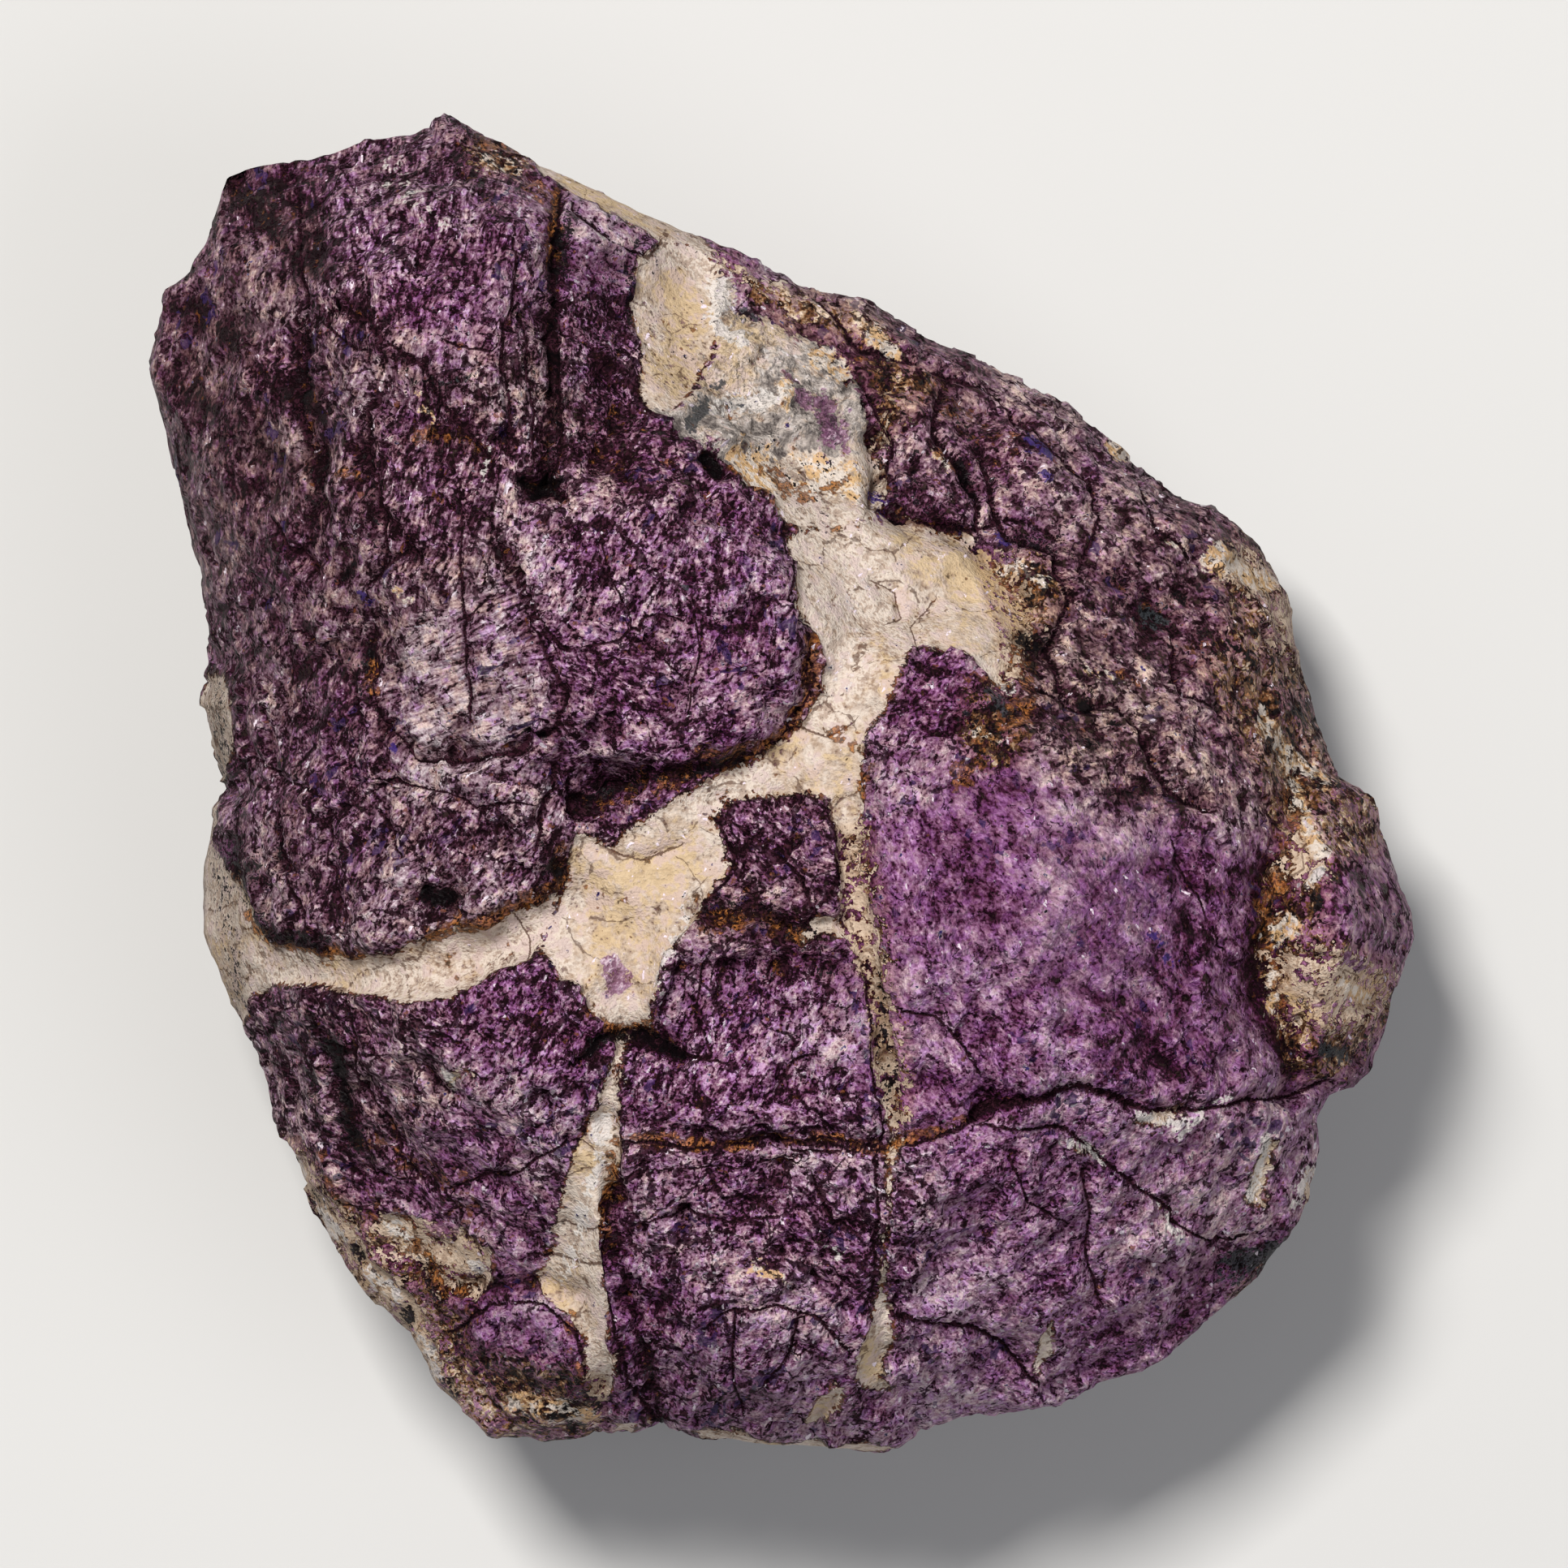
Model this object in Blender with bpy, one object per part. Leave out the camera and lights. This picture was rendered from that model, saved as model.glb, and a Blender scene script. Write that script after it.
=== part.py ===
"""A hand specimen of purpurite: one rough lump of purple cleavable rock, parted by pale veins.

The lump lies on its broad, flat back. +Z is up, +Y runs to the pointed lobe, and the origin is
on the resting face, under the middle of the lump. Lengths below are in millimetres.
"""

import itertools
import math

import bmesh
import bpy
import numpy as np

MM = 0.001

# Driving dimensions
WIDTH = 66.6
LENGTH = 70.0
CROWN_HEIGHT = 36.0
CROWN_TILT_X = -0.10
CROWN_TILT_Y = 0.02
CROWN_FULLNESS = 2.6
RIM_ROUNDING = 0.62
RELIEF_FADE = 0.10
RELIEF_AT_RIM = 0.25
BACK_INSET = 0.24
BACK_SWEEP = math.radians(80.0)
BACK_TRIM = 0.6
BACK_ROUGHENING = 3.0
OUTLINE_SMOOTHING = math.radians(9.0)
NOTCH_REACH = 0.75

# Mesh density
FRONT_CELLS = 52
SIDE_ROWS = 9
RIM_CROWDING = 1.2

# Outline seen from above, anticlockwise from the tip of the lobe
OUTLINE = [
    (-17.7, 35.1), (-19.5, 34.0), (-22.3, 33.6), (-24.7, 32.7), (-28.0, 32.3), (-29.2, 31.8),
    (-30.1, 28.4), (-31.2, 26.8), (-32.5, 25.8), (-32.6, 24.4), (-33.3, 21.9), (-32.6, 19.5),
    (-31.8, 16.7), (-30.6, 11.4), (-29.8, 6.4), (-30.6, 4.3), (-29.8, 0.8), (-29.4, -0.2),
    (-30.1, -1.2), (-30.6, -4.3), (-30.6, -7.9), (-29.3, -11.4), (-27.7, -14.1), (-26.6, -17.6),
    (-25.2, -20.9), (-23.6, -24.4), (-22.5, -26.0), (-19.9, -28.7), (-18.2, -31.7), (-15.5, -34.2),
    (-12.7, -34.6), (-10.6, -34.3), (-9.9, -33.9), (-7.9, -34.0), (-6.3, -33.2), (-4.3, -34.1),
    (-0.8, -34.7), (2.8, -34.9), (5.4, -35.0), (6.8, -33.9), (9.9, -32.8), (14.4, -32.5),
    (16.6, -31.3), (19.0, -30.8), (22.3, -28.3), (25.2, -25.6), (27.0, -23.0), (28.1, -19.3),
    (28.0, -17.6), (28.6, -16.2), (29.8, -15.8), (30.6, -15.0), (31.6, -11.9), (33.3, -8.1),
    (33.1, -6.7), (31.4, -2.4), (31.1, -0.8), (29.1, 0.7), (28.6, 2.3), (27.5, 5.5),
    (26.9, 9.2), (25.3, 12.2), (24.0, 13.6), (22.7, 14.6), (20.6, 15.1), (19.0, 16.5),
    (16.4, 18.9), (14.3, 20.4), (10.0, 22.6), (7.7, 23.5), (4.3, 25.5), (0.9, 26.1),
    (-2.6, 28.0), (-7.1, 29.9), (-11.2, 31.9), (-13.8, 32.9), (-16.4, 34.4),
]

# Height at which the outline is widest: direction in degrees, height
RIM_HEIGHTS = [
    (0, 12.0), (45, 12.5), (80, 16.0), (105, 21.0), (122, 23.0), (150, 16.0), (180, 13.5),
    (215, 14.0), (240, 13.0), (262, 18.0), (290, 19.5), (320, 15.0), (345, 12.5), (360, 12.0),
]

# Rounded swellings: centre x, y, half-widths along and across, turn in degrees, height
SWELLINGS = {
    "lobe head": (-18.0, 26.5, 9.0, 8.0, 0, 3.6),
    "lobe waist": (-18.5, 14.0, 8.5, 12.0, 0, 2.2),
    "lens block": (-16.3, 4.3, 6.0, 5.0, 0, 1.3),
    "left lower block": (-20.0, -3.0, 8.5, 8.0, 0, 1.4),
    "middle block": (-6.2, 9.0, 9.0, 8.5, 0, 2.4),
    "bottom left block": (-17.0, -15.5, 9.5, 7.0, -20, 1.8),
    "bottom middle block": (-1.8, -22.0, 8.0, 12.0, 0, 2.6),
    "coin block": (0.2, -29.2, 3.6, 3.6, 0, 0.8),
    "right bulge": (13.0, -5.5, 12.5, 10.5, -40, 3.4),
    "bottom right block": (14.0, -23.5, 12.5, 8.0, 15, 2.0),
    "upper right block": (12.0, 14.5, 9.0, 5.5, -35, 1.4),
    "right knob": (30.5, -6.8, 3.6, 6.5, 0, 3.2),
    "bottom left knob": (-12.9, -28.4, 3.4, 2.6, 0, 1.8),
    "pointed cap": (-9.2, 29.0, 2.6, 1.6, -25, 2.2),
}

# Grooves along veins and cracks: path, half-width, depth
GROOVES = {
    "rift beside the lobe": ([(-11.8, 31.0), (-11.7, 26.0), (-12.0, 20.0), (-12.2, 15.5)], 1.7, 4.2),
    "rift floor": ([(-8.7, 27.0), (-9.0, 22.0), (-9.3, 16.8)], 2.4, 2.4),
    "hollow at the foot of the rift": ([(-13.0, 15.3), (-11.4, 14.6)], 1.6, 2.8),
    "upper vein": ([(-5.2, 27.5), (-5.6, 22.0), (-1.5, 19.0), (2.0, 15.5)], 2.4, 0.8),
    "undercut below the middle block": ([(-10.6, -1.4), (-7.9, 0.1), (-4.9, 0.3), (-2.4, 1.0)], 1.4, 2.2),
    "vein fork": ([(-4.0, -0.4), (-0.5, 1.6), (2.5, 4.0), (4.2, 8.5), (9.0, 9.8)], 1.9, 1.3),
    "left vein": (
        [(-30.5, -3.0), (-29.0, -7.5), (-25.5, -9.9), (-20.5, -9.8), (-15.5, -9.0), (-12.2, -7.4)],
        1.6, 1.9,
    ),
    "bow tie vein": ([(-10.2, -6.2), (-7.6, -8.2), (-7.8, -12.4)], 1.8, 1.0),
    "small block, upper edge": ([(-3.4, -1.0), (0.2, -0.8), (2.8, -1.4)], 1.3, 0.8),
    "small block, lower edge": ([(-4.2, -6.4), (0.0, -7.6), (3.0, -7.2)], 1.4, 1.4),
    "long thin vein": ([(3.6, -1.0), (4.0, -8.0), (5.6, -14.0), (5.6, -20.0), (5.2, -31.0)], 1.3, 1.1),
    "bottom left vein": ([(-8.0, -13.0), (-10.0, -19.0), (-11.4, -25.0), (-9.9, -31.0)], 1.4, 0.9),
    "step beside the bottom vein": ([(-9.0, -17.5), (-8.8, -24.0), (-7.6, -29.0), (-6.4, -33.6)], 1.3, 1.4),
    "level crack, left": ([(-7.8, -18.6), (-2.0, -18.6), (5.5, -18.4)], 1.3, 0.8),
    "level crack, right": (
        [(5.5, -18.4), (10.5, -16.8), (15.5, -15.8), (20.0, -16.9), (28.4, -15.8)],
        1.3, 1.3,
    ),
    "lens crack": ([(-21.0, 4.0), (-19.6, 1.8), (-16.0, 1.5), (-12.0, 2.4)], 1.3, 0.9),
    "seam left of the middle block": ([(-15.0, 13.8), (-13.4, 8.5), (-11.4, 5.0), (-11.8, -2.5)], 1.3, 1.0),
    "knob groove": ([(27.2, 2.0), (25.6, -4.5), (24.8, -9.5), (26.8, -15.6)], 1.8, 2.0),
    "upper right seam": ([(4.6, 18.0), (5.2, 14.2), (9.5, 12.6), (12.5, 9.8)], 1.4, 1.2),
    "bulge top seam": ([(4.6, 3.6), (8.0, 2.6), (12.0, 3.6), (18.5, 2.2), (21.8, -1.0)], 1.4, 1.0),
    "knob seam": ([(-17.0, -26.4), (-13.5, -25.8), (-10.6, -26.6)], 1.3, 1.2),
    "lobe flank seam": ([(-24.0, 30.0), (-24.6, 22.0), (-24.2, 14.0), (-25.0, 6.0)], 1.4, 0.9),
}

# Round pits: centre x, y, radius, depth
PITS = {
    "dark pit by the bottom left block": (-22.6, -16.2, 1.7, 2.0),
    "pit over the left vein": (-17.5, -6.2, 0.9, 1.2),
    "pit in the seam": (-9.4, -0.2, 1.2, 1.2),
    "pit by the upper vein": (-3.8, 16.6, 0.9, 1.2),
    "pit at the right": (19.4, 8.8, 1.2, 1.2),
    "pit under the bow tie": (-7.6, -13.3, 1.2, 1.2),
}

# Ledges, high on the left of the path as it runs: path, height, width of the step, reach behind it
LEDGES = {
    "lobe cliff": ([(-12.6, 15.0), (-12.8, 22.0), (-12.4, 30.5)], 2.2, 2.0, 5.0),
    "middle block brow": (
        [(-13.0, 1.6), (-9.4, 1.0), (-4.5, 0.6), (-1.2, 1.6), (1.2, 4.2), (1.7, 7.0), (0.6, 11.0)],
        1.8, 1.9, 6.0,
    ),
    "left lower block brow": (
        [(-29.2, -1.8), (-28.2, -5.3), (-26.2, -8.0), (-21.5, -8.5), (-15.5, -7.2), (-11.9, -5.2),
         (-11.2, -2.0)],
        1.9, 1.9, 6.0,
    ),
    "bottom left block brow": ([(-9.4, -12.2), (-12.8, -8.6), (-17.0, -10.8), (-27.5, -11.2)], 1.0, 1.8, 5.0),
    "bottom middle block brow": (
        [(-6.6, -33.0), (-7.8, -28.0), (-9.0, -22.0), (-8.0, -14.4), (-5.4, -9.0), (2.6, -8.6)],
        1.2, 2.0, 6.0,
    ),
    "right bulge brow": ([(4.8, 3.0), (4.9, -8.0), (6.4, -14.5), (12.0, -15.6)], 0.8, 2.0, 8.0),
    "upper right block brow": ([(12.4, 7.0), (9.6, 12.4), (4.8, 13.4), (4.2, 18.4)], 1.0, 1.9, 6.0),
}

# Flat broken faces, each a plane that bites into the lump:
# direction it faces in degrees, how far it faces up in degrees, depth of the bite
UPPER_FACES = {
    "left flank": (172, 40, 1.6),
    "lobe tip": (118, 36, 1.8),
    "upper right flank": (50, 44, 2.6),
    "lower left flank": (222, 40, 2.0),
    "right shoulder": (-6, 52, 1.6),
    "bottom right shoulder": (-50, 46, 2.2),
}
LOWER_FACES = {
    "under the left side": (186, -34, 0.8),
    "under the corner of the lobe": (136, -16, 0.6),
    "under the lobe tip": (112, -38, 0.8),
    "under the upper right": (56, -30, 0.9),
    "under the right": (12, -44, 1.2),
    "under the right knob": (-16, -18, 0.5),
    "under the bottom right": (-46, -36, 0.8),
    "under the bottom": (-94, -46, 1.0),
    "under the lower left": (-136, -20, 0.6),
}

# Rough breaks: cell size, height, seed
FRONT_BREAKS = [(6.5, 1.0, 3), (3.4, 0.8, 11), (2.2, 0.4, 23)]
SIDE_BREAKS = [(8.0, 1.8, 5), (4.0, 1.2, 17)]

# Waver of the widest line's height: cell size on a circle of radius 1, height, seed
RIM_BREAKS = [(0.45, 2.2, 41), (0.16, 1.1, 43)]


def hashed(cells, seed):
    """A repeatable number from 0 to 1 for each whole-numbered cell corner."""
    mixed = cells[..., 0] * 127.1 + cells[..., 1] * 311.7 + cells[..., 2] * 74.7 + seed * 53.3
    wave = np.sin(mixed) * 43758.5453
    return wave - np.floor(wave)


def breaks(points, layers):
    """Rough broken relief from -1 to 1 times each layer's height, with creases between cells."""
    total = np.zeros(len(points))
    for cell, height, seed in layers:
        scaled = points / cell + seed
        corner = np.floor(scaled)
        inside = scaled - corner
        value = np.zeros(len(points))
        for step in itertools.product((0, 1), repeat=3):
            weight = np.prod(np.where(np.array(step) == 1, inside, 1.0 - inside), axis=1)
            value += weight * hashed(corner + step, seed)
        total += (2.0 * value - 1.0) * height
    return total


def distance_to_path(x, y, path):
    """Distance from each point to a path of straight runs."""
    nearest = np.full(x.shape, np.inf)
    for (x0, y0), (x1, y1) in zip(path, path[1:]):
        run_x, run_y = x1 - x0, y1 - y0
        along = ((x - x0) * run_x + (y - y0) * run_y) / (run_x * run_x + run_y * run_y)
        along = np.clip(along, 0.0, 1.0)
        nearest = np.minimum(nearest, np.hypot(x - x0 - along * run_x, y - y0 - along * run_y))
    return nearest


def ledge(x, y, path, width, reach):
    """A step from 0 to 1 across a path, high on its left, that dies away behind the edge."""
    nearest = np.full(x.shape, np.inf)
    side = np.ones(x.shape)
    for (x0, y0), (x1, y1) in zip(path, path[1:]):
        run_x, run_y = x1 - x0, y1 - y0
        along = ((x - x0) * run_x + (y - y0) * run_y) / (run_x * run_x + run_y * run_y)
        along = np.clip(along, 0.0, 1.0)
        off_x, off_y = x - x0 - along * run_x, y - y0 - along * run_y
        distance = np.hypot(off_x, off_y)
        closer = distance < nearest
        nearest = np.where(closer, distance, nearest)
        side = np.where(closer, np.sign(run_x * off_y - run_y * off_x), side)
    signed = nearest * side
    step = 1.0 / (1.0 + np.exp(-4.0 * signed / width))
    return step * np.exp(-nearest / reach)


def outline_radius(angle):
    """Distance from the middle to the outline, in each direction."""
    points = np.array(OUTLINE)
    starts, ends = points, np.roll(points, -1, axis=0)
    ray_x, ray_y = np.cos(angle), np.sin(angle)
    radius = np.zeros(angle.shape)
    for (x0, y0), (x1, y1) in zip(starts, ends):
        run_x, run_y = x1 - x0, y1 - y0
        across = ray_x * run_y - ray_y * run_x
        safe = np.where(np.abs(across) < 1e-12, 1e-12, across)
        reach = (x0 * run_y - y0 * run_x) / safe
        along = (x0 * ray_y - y0 * ray_x) / safe
        hit = (reach > 0.0) & (along >= -1e-9) & (along <= 1.0 + 1e-9)
        radius = np.where(hit, np.maximum(radius, reach), radius)
    return radius


def smooth_outline_radius(angle):
    """The outline's radius with its small notches evened out."""
    steps = 720
    directions = np.arange(steps) * (2.0 * math.pi / steps)
    radii = outline_radius(directions)
    offsets = (directions + math.pi) % (2.0 * math.pi) - math.pi
    weights = np.exp(-((offsets / OUTLINE_SMOOTHING) ** 2))
    blurred = np.fft.ifft(np.fft.fft(radii) * np.fft.fft(weights)).real / weights.sum()
    return np.interp(angle % (2.0 * math.pi), np.append(directions, 2.0 * math.pi),
                     np.append(blurred, blurred[0]))


def broken_face(points, direction, rise, bite):
    """A plane facing one way that bites a little into the points: its unit vector and distance."""
    around, up = math.radians(direction), math.radians(rise)
    face = np.array([math.cos(around) * math.cos(up), math.sin(around) * math.cos(up), math.sin(up)])
    return face, (points @ face).max() - bite


def rim_height(angle):
    """Height of the widest line of the lump, in each direction. It wavers as broken stone does."""
    directions, heights = zip(*RIM_HEIGHTS)
    level = np.interp(np.degrees(angle) % 360.0, directions, heights)
    around = np.stack([np.cos(angle), np.sin(angle), np.zeros(angle.shape)], axis=1)
    return level + breaks(around, RIM_BREAKS)


def front_height(x, y, fraction, angle):
    """Height of the upper surface: a tilted dome with swellings, grooves, pits and breaks."""
    rim = rim_height(angle)
    crown = CROWN_HEIGHT + CROWN_TILT_X * x + CROWN_TILT_Y * y
    relief = np.zeros(x.shape)
    for middle_x, middle_y, along, across, turn, height in SWELLINGS.values():
        cosine, sine = math.cos(math.radians(turn)), math.sin(math.radians(turn))
        local_x = ((x - middle_x) * cosine + (y - middle_y) * sine) / along
        local_y = ((y - middle_y) * cosine - (x - middle_x) * sine) / across
        relief += height * np.exp(-((local_x**2 + local_y**2) ** 1.5))
    for path, half_width, depth in GROOVES.values():
        relief -= depth * np.exp(-((distance_to_path(x, y, path) / half_width) ** 2))
    for middle_x, middle_y, radius, depth in PITS.values():
        relief -= depth * np.exp(-(np.hypot(x - middle_x, y - middle_y) / radius) ** 2)
    for path, height, width, reach in LEDGES.values():
        relief += height * ledge(x, y, path, width, reach)
    rise = np.clip(1.0 - fraction**CROWN_FULLNESS, 0.0, 1.0) ** RIM_ROUNDING
    height = rim + (crown - rim) * rise
    for plane in UPPER_FACES.values():
        face, distance = broken_face(np.stack([x, y, height], axis=1), *plane)
        height = np.minimum(height, (distance - face[0] * x - face[1] * y) / face[2])
    relief += breaks(np.stack([x, y, height], axis=1), FRONT_BREAKS)
    return height + relief * np.clip((1.0 - fraction) / RELIEF_FADE, RELIEF_AT_RIM, 1.0)


def lump_points(flat):
    """Place the net's corners on the lump.

    The front net is a square from -1 to 1. It is pressed round into a disc and stretched to
    the outline. The skirt's corners lie below it, from 0 at the rim to -1 at the resting face.
    """
    across, up, skirt = flat[:, 0], flat[:, 1], -flat[:, 2]
    wider = np.abs(across) >= np.abs(up)
    longer = np.where(wider, across, up)
    shorter = np.where(wider, up, across)
    turn = math.pi / 4.0 * shorter / np.where(longer == 0.0, 1.0, longer)
    longer = np.sign(longer) * (1.0 - np.clip(1.0 - np.abs(longer), 0.0, 1.0) ** RIM_CROWDING)
    disc_x = longer * np.where(wider, np.cos(turn), np.sin(turn))
    disc_y = longer * np.where(wider, np.sin(turn), np.cos(turn))
    angle = np.arctan2(disc_y, disc_x)
    radius = outline_radius(angle)
    even_radius = smooth_outline_radius(angle)
    x, y = disc_x * radius, disc_y * radius
    fraction = np.hypot(disc_x, disc_y)
    notched = np.clip((fraction - NOTCH_REACH) / (1.0 - NOTCH_REACH), 0.0, 1.0)
    evened_fraction = np.minimum(np.hypot(x, y) / even_radius, 1.0)
    fraction = evened_fraction + (fraction - evened_fraction) * notched
    z = front_height(x, y, fraction, angle)

    sweep = skirt * BACK_SWEEP
    inset = BACK_INSET * (1.0 - np.cos(sweep)) / (1.0 - math.cos(BACK_SWEEP))
    skirt_z = z * (1.0 - np.sin(sweep) / math.sin(BACK_SWEEP))
    skirt_radius = (radius + np.minimum(even_radius - radius, 0.0) * skirt) * (1.0 - inset)
    ray_x, ray_y = np.cos(angle), np.sin(angle)
    rim_points = np.stack([ray_x * radius, ray_y * radius, rim_height(angle)], axis=1)
    for plane in LOWER_FACES.values():
        face, distance = broken_face(rim_points, *plane)
        outward = face[0] * ray_x + face[1] * ray_y
        reached = (distance - face[2] * skirt_z) / np.where(outward > 0.0, outward, 1.0)
        skirt_radius = np.where(outward > 0.0, np.minimum(skirt_radius, reached), skirt_radius)
    side_points = np.stack([ray_x * skirt_radius, ray_y * skirt_radius, skirt_z], axis=1)
    roughened = np.minimum(skirt * BACK_ROUGHENING, 1.0)
    skirt_radius -= roughened * (BACK_TRIM + breaks(side_points, SIDE_BREAKS))
    on_skirt = skirt > 0.0
    x = np.where(on_skirt, ray_x * skirt_radius, x)
    y = np.where(on_skirt, ray_y * skirt_radius, y)
    z = np.where(on_skirt, skirt_z, z)
    return np.stack([x, y, z], axis=1)


def fit_to_size(points):
    """Centre the lump over the origin and bring its outline to the driving width and length."""
    low, high = points.min(axis=0), points.max(axis=0)
    middle = (low + high) / 2.0
    scale = np.array([WIDTH, LENGTH]) / (high - low)[:2]
    fitted = points.copy()
    fitted[:, :2] = (points[:, :2] - middle[:2]) * scale
    return fitted


def stone_material():
    """Dull purple stone."""
    material = bpy.data.materials.new("purple_stone")
    material.use_nodes = True
    shader = material.node_tree.nodes["Principled BSDF"]
    shader.inputs["Base Color"].default_value = (0.105, 0.045, 0.115, 1.0)
    shader.inputs["Roughness"].default_value = 0.62
    shader.inputs["Metallic"].default_value = 0.0
    return material


def purpurite_lump(collection):
    """The lump: a net over the front, its border drawn down to the flat resting face."""
    net = bmesh.new()
    bmesh.ops.create_grid(net, x_segments=FRONT_CELLS, y_segments=FRONT_CELLS, size=1.0)
    for row in range(1, SIDE_ROWS + 1):
        border = [edge for edge in net.edges if edge.is_boundary]
        drawn = bmesh.ops.extrude_edge_only(net, edges=border)["geom"]
        for corner in (item for item in drawn if isinstance(item, bmesh.types.BMVert)):
            corner.co.z = -row / SIDE_ROWS
    bmesh.ops.edgeloop_fill(net, edges=[edge for edge in net.edges if edge.is_boundary])

    flat = np.array([corner.co[:] for corner in net.verts])
    placed = fit_to_size(lump_points(flat)) * MM
    for corner, position in zip(net.verts, placed):
        corner.co = position
    bmesh.ops.triangulate(net, faces=net.faces, quad_method="SHORT_EDGE")
    bmesh.ops.recalc_face_normals(net, faces=net.faces)

    mesh = bpy.data.meshes.new("purpurite_stone")
    net.to_mesh(mesh)
    net.free()
    lump = bpy.data.objects.new("purpurite_stone", mesh)
    lump.data.materials.append(stone_material())
    collection.objects.link(lump)
    return lump


def main():
    for old in list(bpy.data.objects):
        bpy.data.objects.remove(old, do_unlink=True)
    collection = bpy.data.collections.new("purpurite_specimen")
    bpy.context.scene.collection.children.link(collection)
    purpurite_lump(collection)


main()
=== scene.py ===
import functools
import itertools
import math

import bpy
import numpy as np
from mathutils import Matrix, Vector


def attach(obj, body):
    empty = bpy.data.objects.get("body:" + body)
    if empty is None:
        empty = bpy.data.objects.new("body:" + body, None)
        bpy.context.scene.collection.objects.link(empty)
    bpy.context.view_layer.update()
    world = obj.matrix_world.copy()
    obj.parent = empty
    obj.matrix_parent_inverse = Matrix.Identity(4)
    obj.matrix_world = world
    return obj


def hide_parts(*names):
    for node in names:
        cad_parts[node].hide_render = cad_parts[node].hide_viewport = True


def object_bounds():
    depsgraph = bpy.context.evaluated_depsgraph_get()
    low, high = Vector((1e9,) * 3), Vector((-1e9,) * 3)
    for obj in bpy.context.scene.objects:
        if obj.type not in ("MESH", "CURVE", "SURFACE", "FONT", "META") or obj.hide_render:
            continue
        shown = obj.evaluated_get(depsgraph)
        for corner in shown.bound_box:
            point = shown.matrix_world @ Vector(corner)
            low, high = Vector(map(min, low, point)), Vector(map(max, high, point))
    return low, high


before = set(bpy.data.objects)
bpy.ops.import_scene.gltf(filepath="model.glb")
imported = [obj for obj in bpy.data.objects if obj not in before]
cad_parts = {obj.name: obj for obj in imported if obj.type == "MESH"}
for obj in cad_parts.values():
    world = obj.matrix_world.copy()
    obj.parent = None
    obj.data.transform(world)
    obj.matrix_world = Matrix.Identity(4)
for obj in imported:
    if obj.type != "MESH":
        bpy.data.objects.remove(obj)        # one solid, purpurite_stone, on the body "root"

cadBox = [list(map(float, corner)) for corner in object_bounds()]
mm = 0.001
stoneWide = (cadBox[1][0] - cadBox[0][0]) / mm
stoneLong = (cadBox[1][1] - cadBox[0][1]) / mm
print("frame loaded, stone", round(stoneWide, 1), "by", round(stoneLong, 1), "mm")

# Places read off the photograph stay in its pixels. The stone is 1566 of them wide.
photo = {"middle": 965.0, "stonePixels": 1566.0, "side": 1932.0}
pixel = stoneWide / photo["stonePixels"]


def fromPhoto(points):
    # photograph pixels to millimetres on the stone, with y turned to run up
    points = np.asarray(points, dtype=float)
    return np.stack([points[:, 0] - photo["middle"], photo["middle"] - points[:, 1]], axis=1) * pixel


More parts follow.
